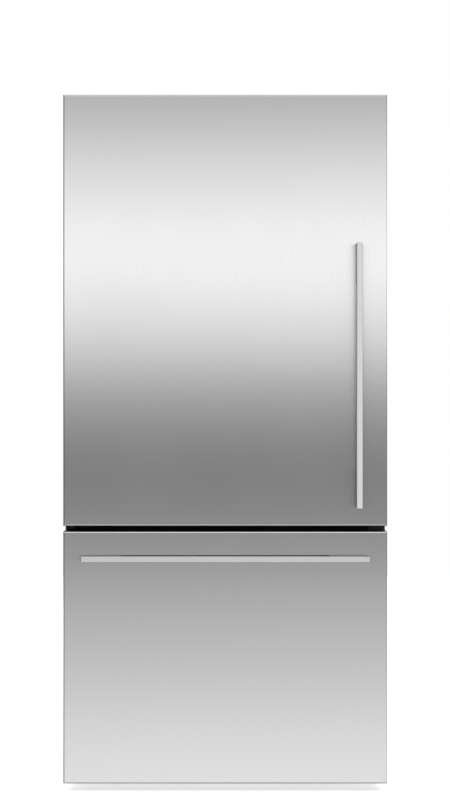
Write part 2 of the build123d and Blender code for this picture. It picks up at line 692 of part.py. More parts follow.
def middle_hinge():
    """Flange on the divider, a plate in the gap and a pin up into the door."""
    x = (X_PIN - HINGE_ARM / 2, X_PIN - HINGE_ARM / 2 + MIDDLE_FLANGE_WIDTH)
    half = MIDDLE_FLANGE_HEIGHT / 2
    z = (Z_GAP - HINGE_PLATE / 2, Z_GAP + HINGE_PLATE / 2)
    flange = block(x, (Y_CABINET - MIDDLE_FLANGE, Y_CABINET), (Z_GAP - half, Z_GAP + half))
    arm = block((x[0], x[0] + HINGE_ARM), (Y_PIN, Y_CABINET), z)
    brace = block(x, (Y_CABINET - HINGE_BRACE, Y_CABINET), z)
    nose = rod("z", (X_PIN, Y_PIN), HINGE_ARM / 2, z)
    pin = rod("z", (X_PIN, Y_PIN), PIN_RADIUS, (z[0], Z_DOOR + PIN_DEPTH))
    holes = [screw_hole("y", at, Y_CABINET - MIDDLE_FLANGE) for at in middle_hinge_screws()]
    return flange + arm + brace + nose + pin - holes


def hinge_screws():
    top = [screw("z", at, Z_TOP + HINGE_PLATE, 1) for at in top_hinge_screws()]
    return top + [screw("y", at, Y_CABINET - MIDDLE_FLANGE, -1) for at in middle_hinge_screws()]


def hinge_cover():
    """Hollow cover over the top hinge's plate, with room for the plate and its arm."""
    wall, half = HINGE_COVER_WALL, HINGE_ARM / 2 + SEAT
    plate_edge = X_PIN - HINGE_ARM / 2 + TOP_PLATE_WIDTH
    x = (-X_CABINET + HINGE_COVER_INSET, plate_edge + HINGE_COVER_MARGIN)
    y = (Y_CABINET + HINGE_COVER_INSET, Y_CABINET + TOP_PLATE_DEPTH + HINGE_COVER_MARGIN)
    z = (Z_TOP, Z_TOP + HINGE_COVER_HEIGHT)
    cover = block(x, y, z)
    cover = fillet(cover.edges().group_by(Axis.Z)[-1] + cover.edges().filter_by(Axis.Z), HINGE_COVER_EDGE)
    inside = block((x[0] + wall, x[1] - wall), (y[0] + wall, y[1] - wall), (z[0] - BEYOND, z[1] - wall))
    plate_y = (y[0] - BEYOND, y[1] - HINGE_COVER_MARGIN + SEAT)
    plate_z = (z[0] - BEYOND, z[0] + HINGE_PLATE + HINGE_COVER_CLEAR)
    return cover - inside - block((X_PIN - half, plate_edge + SEAT), plate_y, plate_z)


# ---------------------------------------------------------------- door and drawer front: shared parts
def slab(z0, z1, inset):
    """A front's outline, drawn in by inset, with its front edges rounded."""
    x = X_FRONT - inset
    solid = block((-x, x), (Y_FACE + inset, Y_REAR), (z0 + inset, z1 - inset))
    return fillet(solid.faces().sort_by(Axis.Y)[0].edges(), FRONT_EDGE_RADIUS - inset)


def skin(z0, z1):
    """Folded steel skin: face, sides, short lips above and below, returns at the rear."""
    wall = slab(z0, z1, 0) - slab(z0, z1, SKIN)
    across, y = (-WIDTH, WIDTH), (Y_FACE + LIP_DEPTH, Y_REAR + BEYOND)
    over = block(across, y, (z1 - SKIN, z1 + BEYOND))
    under = block(across, y, (z0 - BEYOND, z0 + SKIN))
    x = X_FRONT - SKIN
    fold = block((x - SKIN_RETURN, x), (Y_INNER, Y_REAR), (z0 + SKIN, z1 - SKIN))
    return wall - [over, under] + [fold, other_side(fold)]


def cap(z):
    """Plastic strip that closes a front's upper or lower end behind the lip."""
    x = X_FRONT - SKIN
    return block((-x, x), (Y_FACE + LIP_DEPTH, Y_LINER), z)


def ridge(x, z, y, band, inset):
    """A ridge running round the inside of a front, drawn in by inset."""
    outer = block((-x + inset, x - inset), y, (z[0] + inset, z[1] - inset))
    edge = band - inset
    inner = block((-x + edge, x - edge), (y[0] - BEYOND, y[1] + BEYOND), (z[0] + edge, z[1] - edge))
    return rounded(outer, Axis.Y, RIDGE_RADIUS - inset) - rounded(inner, Axis.Y, RIDGE_RADIUS)


def front_liner(z0, z1, x, z, depth, band):
    """Moulded inner wall of a front, with its hollow ridge."""
    wide = X_FRONT - SKIN
    plate = block((-wide, wide), (Y_LINER, Y_INNER), (z0 + SKIN, z1 - SKIN))
    moulded = plate + ridge(x, z, (Y_LINER, Y_INNER + depth), band, 0)
    return moulded - ridge(x, z, (Y_LINER - BEYOND, Y_INNER + depth - LINER), band, LINER)


def front_foam(z0, z1, x, z, depth, band):
    """Insulation between the skin, the caps and the liner."""
    behind = block((-WIDTH, WIDTH), (Y_LINER, Y_REAR + BEYOND), (z0 - BEYOND, z1 + BEYOND))
    caps = [cap((z1 - CAP_HEIGHT, z1)), cap((z0, z0 + CAP_HEIGHT))]
    inner_ridge = ridge(x, z, (Y_LINER, Y_INNER + depth - LINER), band, LINER)
    return slab(z0, z1, SKIN) - behind - caps + inner_ridge


def gasket(z0, z1):
    """Magnetic seal: a base on the liner and a narrower bead that meets the cabinet."""
    x, middle = X_FRONT - GASKET_INSET, Y_CABINET - GASKET_BEAD
    solids = []
    for inset, y in ((0, (Y_INNER, middle)), (GASKET_STEP, (middle, Y_CABINET))):
        width = GASKET_WIDTH - inset
        outer = block((-x + inset, x - inset), y, (z0 + inset, z1 - inset))
        through = (y[0] - BEYOND, y[1] + BEYOND)
        solids.append(outer - block((-x + width, x - width), through, (z0 + width, z1 - width)))
    return solids[0] + solids[1]


def handle_bar(length):
    """A flat bar along Z, from the origin up, with its rear face on the plane y = 0."""
    bar = Pos(0, -HANDLE_DEPTH / 2, length / 2) * Box(HANDLE_WIDTH, HANDLE_DEPTH, length)
    return fillet(bar.edges(), HANDLE_EDGE)


def handle_posts(length):
    """The bar's two end posts."""
    reach, half = HANDLE_REACH - HANDLE_DEPTH, HANDLE_WIDTH / 2 - POST_EASE
    post = block((-half, half), (0, reach), (POST_EASE + HANDLE_EDGE, POST_LENGTH))
    return [post, Pos(0, 0, length) * mirror(post, about=Plane.XY)]


def on_door(pieces):
    y = Y_FACE - HANDLE_REACH + HANDLE_DEPTH
    place = Pos(X_FRONT - DOOR_HANDLE_INSET, y, Z_DOOR + DOOR_HANDLE_RISE)
    return [place * piece for piece in pieces]


def on_drawer(pieces):
    y, z = Y_FACE - HANDLE_REACH + HANDLE_DEPTH, Z_DRAWER_TOP - DRAWER_HANDLE_DROP
    place = Pos(-DRAWER_HANDLE_LENGTH / 2, y, z) * Rot(0, 90, 0)
    return [place * piece for piece in pieces]


# ---------------------------------------------------------------- door
def hinge_notch():
    """Room in the door's upper corner for the hinge arm."""
    x = (-X_FRONT - BEYOND, -X_FRONT + NOTCH_WIDTH)
    return block(x, (Y_FACE + NOTCH_FRONT, Y_REAR + BEYOND), (Z_NOTCH, Z_DOOR_TOP + BEYOND))


def hinge_block(z):
    """Solid corner of a cap, round a hinge bush."""
    x = (-X_FRONT + SKIN, -X_FRONT + NOTCH_WIDTH)
    return block(x, (Y_FACE + NOTCH_FRONT, Y_LINER), z)


def door_ridge():
    return X_RIDGE, (Z_RIDGE, Z_RIDGE_TOP), RIDGE_DEPTH, RIDGE_BAND


def door_skin():
    return skin(Z_DOOR, Z_DOOR_TOP) - hinge_notch()


def top_corner():
    """Span of the top cap's solid hinge corner."""
    return TOP_BUSH[0] - HINGE_CORNER, Z_NOTCH


def door_top_cap():
    strip = cap((Z_DOOR_TOP - CAP_HEIGHT, Z_DOOR_TOP)) + hinge_block(top_corner())
    return strip - hinge_notch() - rod("z", (X_PIN, Y_PIN), BUSH_RADIUS, TOP_BUSH)


def door_bottom_cap():
    strip = cap((Z_DOOR, Z_DOOR + CAP_HEIGHT))
    return strip - rod("z", (X_PIN, Y_PIN), BUSH_RADIUS, BOTTOM_BUSH)


def door_bushes():
    """Hinge bushes; the lower one's collar carries the door on the middle hinge."""
    bore = PIN_RADIUS + PIN_CLEAR
    collar = (Z_GAP + HINGE_PLATE / 2 + SEAT, BOTTOM_BUSH[1])
    return [ring("z", (X_PIN, Y_PIN), BUSH_RADIUS, bore, span) for span in (TOP_BUSH, collar)]


def door_foam():
    return front_foam(Z_DOOR, Z_DOOR_TOP, *door_ridge()) - hinge_notch() - hinge_block(top_corner())


def lug_spans(level):
    middle = Y_INNER + RIDGE_DEPTH / 2
    y = (middle - LUG_LENGTH / 2, middle + LUG_LENGTH / 2)
    return y, (level + LUG_RISE, level + LUG_RISE + LUG_HEIGHT)


def door_liner():
    """Inner wall of the door with the lugs that the bins hang on."""
    lugs = []
    x = X_RIDGE - RIDGE_BAND
    for rise in BIN_LEVELS.values():
        y, z = lug_spans(Z_RIDGE + rise)
        lug = block((X_BIN + LUG_GAP, x), y, z)
        lugs += [lug, other_side(lug)]
    return front_liner(Z_DOOR, Z_DOOR_TOP, *door_ridge()) + lugs - hinge_notch()


def door_gasket():
    return gasket(Z_DOOR + GASKET_INSET, Z_DOOR_TOP - GASKET_TOP_INSET)


def door_bin(name):
    """A bin with an ear on each side that rests on the liner's lug."""
    level = Z_RIDGE + BIN_LEVELS[name]
    y = (Y_INNER + SEAT, Y_INNER + BIN_DEPTHS[name])
    body = open_box((-X_BIN, X_BIN), y, (level, level + BIN_HEIGHT), BIN_WALL, BIN_RADIUS)
    ear_y, lug_z = lug_spans(level)
    ear_z = (lug_z[1], lug_z[1] + EAR_HEIGHT)
    ear = block((X_BIN - ROOT, X_RIDGE - RIDGE_BAND - SEAT), ear_y, ear_z)
    return body + [ear, other_side(ear)]


def dairy_spans():
    x = (-X_BIN, -X_BIN + DAIRY_WIDTH)
    z = (Z_RIDGE + DAIRY_LEVEL, Z_RIDGE + DAIRY_LEVEL + DAIRY_HEIGHT)
    return x, (Y_INNER, Y_INNER + DAIRY_DEPTH), z


def flap_axis():
    """Height and depth of the flap's pivot."""
    x, y, z = dairy_spans()
    return y[1] + FLAP / 2 + SEAT, z[1] - FLAP_PIN_DROP


def dairy_box():
    """Box on the door, open towards the shelves, with cheeks that hold the flap's pins."""
    x, y, z = dairy_spans()
    rear = y[1] + FLAP + FLAP_CHEEK
    outer = block(x, (y[0], rear), z)
    inner_x = (x[0] + BIN_WALL, x[1] - BIN_WALL)
    inside = block(inner_x, (y[0] + BIN_WALL, rear + BEYOND), (z[0] + BIN_WALL, z[1] - BIN_WALL))
    front = block(inner_x, (y[1], rear + BEYOND), (z[0] - BEYOND, z[1] + BEYOND))
    bore = rod("x", flap_axis(), FLAP_PIN + PIN_CLEAR, (x[0] - BEYOND, x[1] + BEYOND))
    return outer - inside - front - bore


def dairy_flap():
    x, y, z = dairy_spans()
    at = flap_axis()
    inner_x = (x[0] + BIN_WALL + SEAT, x[1] - BIN_WALL - SEAT)
    foot = z[0] + FLAP_FOOT
    sheet = block(inner_x, (at[0] - FLAP / 2, at[0] + FLAP / 2), (foot, z[1] - FLAP_HEAD))
    lip_x = (x[0] + FLAP_LIP_INSET, x[1] - FLAP_LIP_INSET)
    lip = block(lip_x, (at[0], at[0] + FLAP_LIP), (foot, foot + FLAP_LIP_THICK))
    return sheet + lip + rod("x", at, FLAP_PIN, (x[0] + FLAP_END, x[1] - FLAP_END))


# ---------------------------------------------------------------- freezer drawer
def drawer_ridge():
    z = (Z_FREEZER + DRAWER_RIDGE_SIDE, Z_FREEZER_TOP - DRAWER_RIDGE_SIDE)
    return X_CAVITY - DRAWER_RIDGE_SIDE, z, DRAWER_RIDGE_DEPTH, DRAWER_RIDGE_BAND


def channel(x, z, y, open_to):
    """A C-section runner member, open towards -X or +X."""
    low = x[0] - BEYOND if open_to < 0 else x[0] + RUNNER_SHEET
    high = x[1] - RUNNER_SHEET if open_to < 0 else x[1] + BEYOND
    inner_z = (z[0] + RUNNER_SHEET, z[1] - RUNNER_SHEET)
    return block(x, y, z) - block((low, high), (y[0] - BEYOND, y[1] + BEYOND), inner_z)


def runner_members():
    """Cabinet, middle and drawer member of the right-hand runner, nested."""
    step = RUNNER_SHEET + RUNNER_CLEAR
    z = (Z_RUNNER, Z_RUNNER + RUNNER_HEIGHT)
    fixed = channel((X_CAVITY - RUNNER_DEPTH, X_CAVITY), z, Y_RUNNER, -1)
    nested = (z[0] + step, z[1] - step)
    middle_y = (Y_RUNNER[0], Y_RUNNER[0] + MEMBER_LENGTH)
    middle = channel((X_WEB + RUNNER_FOLD, X_MIDDLE), nested, middle_y, -1)
    inmost = (nested[0] + step, nested[1] - step)
    drawer_y = (Y_DRAWER_RIDGE, Y_DRAWER_RIDGE + MEMBER_LENGTH)
    drawer = channel((X_WEB, X_DRAWER_MEMBER), inmost, drawer_y, 1)
    return fixed, middle, drawer


def runner_pair(index):
    """One member of both runners: 0 on the cabinet, 1 between, 2 on the drawer."""
    piece = runner_members()[index]
    return [piece, other_side(piece)]


def drawer_frame():
    """Side rails that carry the basket, each with a foot on the drawer's inner wall."""
    rail = block((X_RAIL, X_WEB), (Y_DRAWER_RIDGE, Y_DRAWER_RIDGE + MEMBER_LENGTH), (Z_RAIL, Z_RIM))
    foot_y = (Y_DRAWER_RIDGE, Y_DRAWER_RIDGE + RAIL_FOOT_THICK)
    foot = block((X_RAIL - RAIL_FOOT, X_WEB), foot_y, (Z_RAIL - RAIL_FOOT_DROP, Z_RIM))
    return [rail + foot, other_side(rail + foot)]


def basket_spans():
    rim = Z_RIM + BASKET_LIP
    return X_RAIL - BASKET_SIDE, Y_BASKET, (rim - BASKET_HEIGHT, rim)


def slot_cuts(span, count):
    """Places of evenly spaced slots along a span, with a margin at its ends."""
    first, last = span[0] + SLOT_MARGIN, span[1] - SLOT_MARGIN
    return [first + i * (last - first) / (count - 1) for i in range(count)]


def freezer_basket():
    """Slotted basket whose lip hangs on the side rails."""
    x, y, z = basket_spans()
    body = open_box((-x, x), y, z, BIN_WALL, BASKET_RADIUS)
    mouth_y, mouth_z = (y[0] + BIN_WALL, y[1] - BIN_WALL), (Z_RIM - BEYOND, z[1] + BEYOND)
    lip = block((-X_WEB, X_WEB), y, (Z_RIM, z[1])) - block((-x + BIN_WALL, x - BIN_WALL), mouth_y, mouth_z)
    slot_z = (z[0] + SLOT_RISE, z[0] + SLOT_RISE + SLOT_HEIGHT)
    over_x, over_y = (-x - BEYOND, x + BEYOND), (y[0] - BEYOND, y[1] + BEYOND)
    cuts = [block(over_x, (at - SLOT / 2, at + SLOT / 2), slot_z) for at in slot_cuts(y, BASKET_SLOTS)]
    for at in slot_cuts((-x, x), 2 * BASKET_SLOTS):
        cuts.append(block((at - SLOT / 2, at + SLOT / 2), over_y, slot_z))
    return body - cuts + lip


def freezer_tray():
    """Shallow tray that slides to and fro on the basket's rim."""
    x, y, z = basket_spans()
    side, front = x + TRAY_OVERHANG, y[0] + TRAY_SETBACK
    low = z[1] + SEAT
    top = low + TRAY_HEIGHT
    body = open_box((-side, side), (front, front + TRAY_DEPTH), (low, top), BIN_WALL, TRAY_RADIUS)
    pull_y = (front - PULL_REACH, front + ROOT)
    return body + block((-PULL_WIDTH / 2, PULL_WIDTH / 2), pull_y, (top - PULL_THICK, top))


# ---------------------------------------------------------------- fridge compartment
def shelf_spans():
    return X_CAVITY - SHELF_SIDE, (Y_SHELF, Y_DUCT - SHELF_SIDE)


def shelf_frame(level):
    """Plastic surround of a glass shelf, resting on two ledges."""
    x, y = shelf_spans()
    body = block((-x, x), y, (level, level + SHELF_THICK))
    edge = 2 * SHELF_TRIM
    through = (level - BEYOND, level + SHELF_THICK + BEYOND)
    window = block((-x + edge, x - edge), (y[0] + edge, y[1] - edge), through)
    return fillet(body.edges().filter_by(Axis.X), SHELF_EDGE) - window - shelf_glass(level)


def shelf_glass(level):
    x, y = shelf_spans()
    z, edge = level + SHELF_THICK, SHELF_TRIM
    return block((-x + edge, x - edge), (y[0] + edge, y[1] - edge), (z - GLASS, z))


def duct_cover():
    """Air duct up the rear wall, with pairs of outlet slots."""
    x, wall = DUCT_WIDTH / 2, DUCT_WALL
    z = (Z_FRIDGE + DUCT_MARGIN, Z_FRIDGE_TOP - DUCT_MARGIN)
    cover = block((-x, x), (Y_DUCT, Y_CAVITY), z)
    cover = fillet(cover.faces().sort_by(Axis.Y)[0].edges(), DUCT_EDGE)
    hollow = block((-x + wall, x - wall), (Y_DUCT + wall, Y_CAVITY + BEYOND), (z[0] + wall, z[1] - wall))
    slot_x = (-DUCT_SLOT_INNER - DUCT_SLOT_LENGTH, -DUCT_SLOT_INNER)
    slot_y = (Y_DUCT - BEYOND, Y_DUCT + wall + BEYOND)
    slots = []
    for level in SHELF_LEVELS + [Z_CRISPER_SHELF]:
        for i in range(DUCT_SLOTS):
            low = level + DUCT_SLOT_RISE + DUCT_SLOT_STEP * i
            slots.append(block(slot_x, slot_y, (low, low + DUCT_SLOT_HEIGHT)))
    return cover - hollow - slots - [other_side(slot) for slot in slots]


def crisper():
    """Right-hand crisper drawer with a pull lip."""
    x = (CRISPER_GAP / 2, X_CAVITY - CRISPER_SIDE)
    y0 = Y_CABINET + CRISPER_SETBACK
    z = (Z_FRIDGE + SEAT, Z_FRIDGE + SEAT + CRISPER_HEIGHT)
    body = open_box(x, (y0, y0 + CRISPER_DEPTH), z, BIN_WALL, CRISPER_RADIUS)
    lip_x = (x[0] + CRISPER_RADIUS, x[1] - CRISPER_RADIUS)
    edge = y0 - CRISPER_LIP
    lip = block(lip_x, (edge, y0 + ROOT), (z[1] - CRISPER_LIP_THICK, z[1]))
    hook = block(lip_x, (edge, edge + CRISPER_HOOK), (z[1] - CRISPER_HOOK_DROP, z[1]))
    return body + lip + hook


def slider_place():
    """Middle of the right-hand humidity slider: across, and up."""
    return X_CAVITY / 2, Z_CRISPER_SHELF + SLIDER_RISE


def crisper_frame():
    """Surround of the crisper cover with its front bar and slider slots."""
    level = Z_CRISPER_SHELF
    x = shelf_spans()[0]
    bar_z = (level - CRISPER_BAR_DROP, level + SHELF_THICK + CRISPER_BAR_RISE)
    bar = block((-x, x), (Y_SHELF, Y_SHELF + SHELF_TRIM), bar_z)
    middle, z = slider_place()
    half = SLIDER_TRAVEL / 2 + SLIDER_STEM / 2 + SEAT
    slot_z = (z - SLIDER_HEIGHT / 2, z + SLIDER_HEIGHT / 2)
    slot = block((middle - half, middle + half), (Y_SHELF - BEYOND, Y_SHELF + SLIDER_SLOT), slot_z)
    return shelf_frame(level) + bar - shelf_glass(level) - [slot, other_side(slot)]


def crisper_divider():
    """Upright wall between the crispers, from the floor to the cover."""
    x = CRISPER_DIVIDER / 2
    y = (Y_SHELF + SHELF_TRIM, Y_CABINET + CRISPER_SETBACK + CRISPER_DEPTH)
    return block((-x, x), y, (Z_FRIDGE, Z_CRISPER_SHELF))


def shelf_frames():
    """All shelf surrounds, with the crisper cover's and the wall under it."""
    return [shelf_frame(level) for level in SHELF_LEVELS] + [crisper_frame(), crisper_divider()]


def humidity_slider():
    """Right-hand slider at the inner end of its travel."""
    middle, z = slider_place()
    x = middle - SLIDER_TRAVEL / 2
    half = SLIDER_HEIGHT / 2 - SEAT
    stem_y = (Y_SHELF - SEAT, Y_SHELF + SLIDER_SLOT - BEYOND)
    stem = block((x - SLIDER_STEM / 2, x + SLIDER_STEM / 2), stem_y, (z - half, z + half))
    knob_x, knob_z = (x - KNOB_WIDTH / 2, x + KNOB_WIDTH / 2), (z - KNOB_HEIGHT / 2, z + KNOB_HEIGHT / 2)
    knob = block(knob_x, (Y_SHELF - KNOB_DEPTH, Y_SHELF - SEAT), knob_z)
    return stem + fillet(knob.edges().group_by(Axis.Y)[0], KNOB_EDGE)


def panel_spans():
    y0 = Y_CABINET + PANEL_SETBACK
    return PANEL_WIDTH / 2, (y0, y0 + PANEL_DEPTH), (Z_FRIDGE_TOP - PANEL_HEIGHT, Z_FRIDGE_TOP)


def button_places():
    """Across positions of the buttons, to the right of the display."""
    return [BUTTON_X + i * BUTTON_PITCH for i in range(BUTTON_COUNT)]


def display_pocket():
    """Shallow recess for the display."""
    x, y, z = panel_spans()
    width = (DISPLAY_X, DISPLAY_X + DISPLAY_WIDTH)
    return block(width, (y[0] - BEYOND, y[0] + DISPLAY_DEPTH), (z[0] + DISPLAY_EDGE, z[1] - DISPLAY_EDGE))


def lamp_pocket():
    """Recess for the lamp in the panel's underside."""
    x, y, z = panel_spans()
    half = x - LAMP_SIDE
    return block((-half, half), (y[0] + LAMP_FRONT, y[1] - LAMP_REAR), (z[0] - BEYOND, z[0] + LAMP_DEPTH))


def control_panel():
    """Housing on the fridge's ceiling for the display, the buttons and the lamp."""
    x, y, z = panel_spans()
    body = rounded(block((-x, x), y, z), Axis.Z, PANEL_RADIUS)
    middle = (z[0] + z[1]) / 2
    span = (y[0] - BEYOND, y[0] + BUTTON_LENGTH + BUTTON_ROOM)
    holes = [rod("y", (at, middle), BUTTON_RADIUS + SEAT, span) for at in button_places()]
    return body - holes - display_pocket() - lamp_pocket()


def button(place):
    x, y, z = panel_spans()
    span = (y[0] - BUTTON_PROUD, y[0] + BUTTON_LENGTH - BUTTON_PROUD)
    body = rod("y", (place, (z[0] + z[1]) / 2), BUTTON_RADIUS, span)
    return fillet(body.edges().group_by(Axis.Y)[0], BUTTON_EDGE)


# ---------------------------------------------------------------- freezer's cooling
def fan_place():
    """Across, and up: the evaporator fan's axis."""
    return 0.0, Z_FREEZER_TOP - EVAP_FAN_RADIUS - EVAP_FAN_DROP


def fan_grille(y):
    """Rings and a cross over the evaporator fan's opening."""
    x, z = fan_place()
    radii = [FAN_RING_FIRST + i * FAN_RING_STEP for i in range(FAN_RING_COUNT)]
    rings = [ring("y", (x, z), radius, radius - FAN_RING, y) for radius in radii]
    half, reach = FAN_RING / 2, EVAP_FAN_RADIUS + FAN_RING
    across = block((x - reach, x + reach), y, (z - half, z + half))
    upright = block((x - half, x + half), y, (z - reach, z + reach))
    return rings[0] + rings[1:] + across + upright


def evaporator_cover():
    """Rear wall of the freezer with the fan's grille and return slots."""
    y = (Y_EVAP_COVER, Y_EVAP_COVER + EVAP_COVER)
    through = (y[0] - BEYOND, y[1] + BEYOND)
    cover = block((-X_CAVITY, X_CAVITY), y, (Z_STEP, Z_FREEZER_TOP))
    hole = rod("y", fan_place(), EVAP_FAN_RADIUS + FAN_TIP_CLEAR, through)
    low, half = Z_STEP + RETURN_SLOT_RISE, RETURN_SLOT_WIDTH / 2
    places = [(i - (RETURN_SLOTS - 1) / 2) * RETURN_SLOT_PITCH for i in range(RETURN_SLOTS)]
    slots = [block((at - half, at + half), through, (low, low + RETURN_SLOT_HEIGHT)) for at in places]
    return cover - hole - slots + (fan_grille(y) & hole)


def evap_columns():
    first = Y_EVAP_COVER + EVAP_COLUMN_FIRST
    return first, first + EVAP_COLUMN_STEP


def evap_rows():
    pitch = EVAP_HEIGHT / EVAP_ROWS
    return [Z_STEP + EVAP_RISE + (row + 0.5) * pitch for row in range(EVAP_ROWS)]


def serpentine(planes, rows, ends, place):
    """Corners of a tube that runs to and fro through each row of each plane."""
    points = []
    for index, plane in enumerate(planes):
        for row in rows if index % 2 == 0 else reversed(rows):
            run = ends if len(points) % 4 == 0 else ends[::-1]
            points += [place(end, plane, row) for end in run]
    return points


def evaporator_tubes():
    half = X_CAVITY - EVAP_SIDE
    points = serpentine(evap_columns(), evap_rows(), (-half, half), lambda end, y, z: (end, y, z))
    return pipe(points, EVAP_TUBE, PIPE_BEND_SHARE * EVAP_COLUMN_STEP)


def evaporator_fins():
    """Thin fins on the tubes; the two end plates reach the rear wall and carry the coil."""
    z = (Z_STEP + EVAP_RISE, Z_STEP + EVAP_RISE + EVAP_HEIGHT)
    y = (Y_EVAP_COVER + FIN_FRONT, Y_CAVITY - FIN_REAR)
    reach = X_CAVITY - EVAP_SIDE - FIN_SIDE
    places = [(column, row) for column in evap_columns() for row in evap_rows()]
    bores = [rod("x", at, EVAP_TUBE + SEAT, (-BEYOND, BEYOND)) for at in places]
    fin = block((-EVAP_FIN / 2, EVAP_FIN / 2), y, z) - bores
    end = block((-EVAP_FIN, EVAP_FIN), (y[0], Y_CAVITY), (z[0] - FIN_END, z[1] + FIN_END)) - bores
    step = 2 * reach / (EVAP_FINS + 1)
    fins = [Pos(-reach + step * (i + 1), 0, 0) * fin for i in range(EVAP_FINS)]
    return fins + [Pos(-reach, 0, 0) * end, Pos(reach, 0, 0) * end]


def evaporator_fan():
    shaft_length = EVAP_MOTOR[0] - Y_EVAP_FAN - EVAP_FAN_DEPTH / 2 + SHAFT_IN_MOTOR
    body = fan(EVAP_FAN_RADIUS, EVAP_HUB, EVAP_FAN_DEPTH, EVAP_SHAFT, shaft_length)
    x, z = fan_place()
    return Pos(x, Y_EVAP_FAN, z) * Rot(90, 0, 0) * body


def evaporator_motor():
    """Motor can on the rear wall, with a cross plate."""
    can = rod("y", fan_place(), MOTOR_RADIUS, EVAP_MOTOR)
    x, z = fan_place()
    wide, high = MOTOR_PLATE_WIDTH / 2, MOTOR_PLATE_HEIGHT / 2
    plate = block((x - wide, x + wide), (Y_CAVITY - MOTOR_PLATE, Y_CAVITY), (z - high, z + high))
    bore_span = (EVAP_MOTOR[0] - BEYOND, EVAP_MOTOR[0] + MOTOR_BORE)
    return can + plate - rod("y", fan_place(), EVAP_SHAFT + PIN_CLEAR, bore_span)


# ---------------------------------------------------------------- machine room
def compressor_corners():
    middle = (X_COMPRESSOR, Y_MACHINE_MIDDLE)
    return [(middle[0] + i * BOLT_X, middle[1] + j * BOLT_Y) for i in (-1, 1) for j in (-1, 1)]


def compressor():
    """Sealed pot on a foot plate, with its terminal box."""
    low, x, y = Z_PAN + GROMMET_HEIGHT, X_COMPRESSOR, Y_MACHINE_MIDDLE
    pot = Cylinder(COMPRESSOR_RADIUS, COMPRESSOR_HEIGHT)
    pot = fillet(pot.edges().filter_by(GeomType.CIRCLE), COMPRESSOR_EDGE)
    pot = Pos(x, y, low + COMPRESSOR_HEIGHT / 2 + COMPRESSOR_LIFT) * pot
    seam_span = (low + SEAM_RISE, low + SEAM_RISE + SEAM_HEIGHT)
    seam = rod("z", (x, y), COMPRESSOR_RADIUS + SEAM_PROUD, seam_span)
    wide, deep = BOLT_X + BOLT_MARGIN, BOLT_Y + BOLT_MARGIN
    plate = block((x - wide, x + wide), (y - deep, y + deep), (low, low + FOOT_PLATE))
    holes = [rod("z", at, BOLT_RADIUS + SEAT, (0, Z_MACHINE)) for at in compressor_corners()]
    side, half = x - COMPRESSOR_RADIUS, TERMINAL_WIDTH / 2
    terminal_z = (low + TERMINAL_RISE, low + TERMINAL_RISE + TERMINAL_HEIGHT)
    box = block((side - TERMINAL_REACH, side + TERMINAL_ROOT), (y - half, y + half), terminal_z)
    return pot + seam + (rounded(plate, Axis.Z, FOOT_PLATE_RADIUS) - holes) + box


def compressor_mounts():
    span = (Z_PAN, Z_PAN + GROMMET_HEIGHT)
    return [ring("z", at, GROMMET_RADIUS, BOLT_RADIUS + SEAT, span) for at in compressor_corners()]


def compressor_bolts():
    top, half = Z_PAN + GROMMET_HEIGHT + FOOT_PLATE, BOLT_HEAD_HEIGHT / 2
    pieces = []
    for at in compressor_corners():
        head = Pos(*at, top + half) * extrude(RegularPolygon(BOLT_HEAD, 6), half, both=True)
        pieces.append(head + rod("z", at, BOLT_RADIUS, (Z_PAN, top)))
    return pieces


def condenser_planes():
    return [X_CONDENSER + i * CONDENSER_PITCH for i in range(CONDENSER_PLANES)]


def condenser_rows():
    return [Z_PAN + CONDENSER_RISE + j * CONDENSER_PITCH for j in range(CONDENSER_ROWS)]


def condenser_coil():
    """One long tube to and fro in six upright planes."""
    ends = (Y_BACK - CONDENSER_REAR, Y_MACHINE + CONDENSER_FRONT)
    rows = condenser_rows()[::-1]
    points = serpentine(condenser_planes(), rows, ends, lambda end, x, z: (x, end, z))
    points[0] = coil_start()
    return pipe(points, CONDENSER_TUBE, PIPE_BEND_SHARE * CONDENSER_PITCH)


def coil_start():
    """Where the discharge pipe meets the condenser's tube."""
    return X_CONDENSER, Y_BACK - CONDENSER_JOINT, condenser_rows()[-1]


def discharge_pipe():
    """From the top of the compressor, over the fan's shroud and down into the condenser."""
    x, y = X_COMPRESSOR + DISCHARGE_X, Y_MACHINE_MIDDLE + DISCHARGE_Y
    low = Z_PAN + GROMMET_HEIGHT + COMPRESSOR_HEIGHT + COMPRESSOR_LIFT
    end, rear, high = coil_start(), Y_BACK - DISCHARGE_REAR, Z_MACHINE - SHROUD_DROP / 2
    points = [(x, y, low), (x, y, high), (end[0], rear, high), (end[0], rear, end[2]), end]
    return pipe(points, CONDENSER_TUBE, PIPE_BEND)


def condenser_plates():
    """Two upright plates that stand on the floor and carry the tube."""
    planes, edge = condenser_planes(), CONDENSER_PLATE_EDGE
    places = [(plane, row) for plane in planes for row in condenser_rows()]
    plates = []
    for y in (Y_MACHINE + CONDENSER_PLATE_FRONT, Y_BACK - CONDENSER_PLATE_REAR):
        through = (y - BEYOND, y + CONDENSER_PLATE + BEYOND)
        bores = [rod("y", at, CONDENSER_TUBE + SEAT, through) for at in places]
        z = (Z_PAN, Z_MACHINE - CONDENSER_PLATE_DROP)
        plate = block((planes[0] - edge, planes[-1] + edge), (y, y + CONDENSER_PLATE), z)
        plates.append(plate - bores)
    return plates


def fan_height():
    return Z_PAN + MACHINE_FAN_RADIUS + MACHINE_FAN_RISE


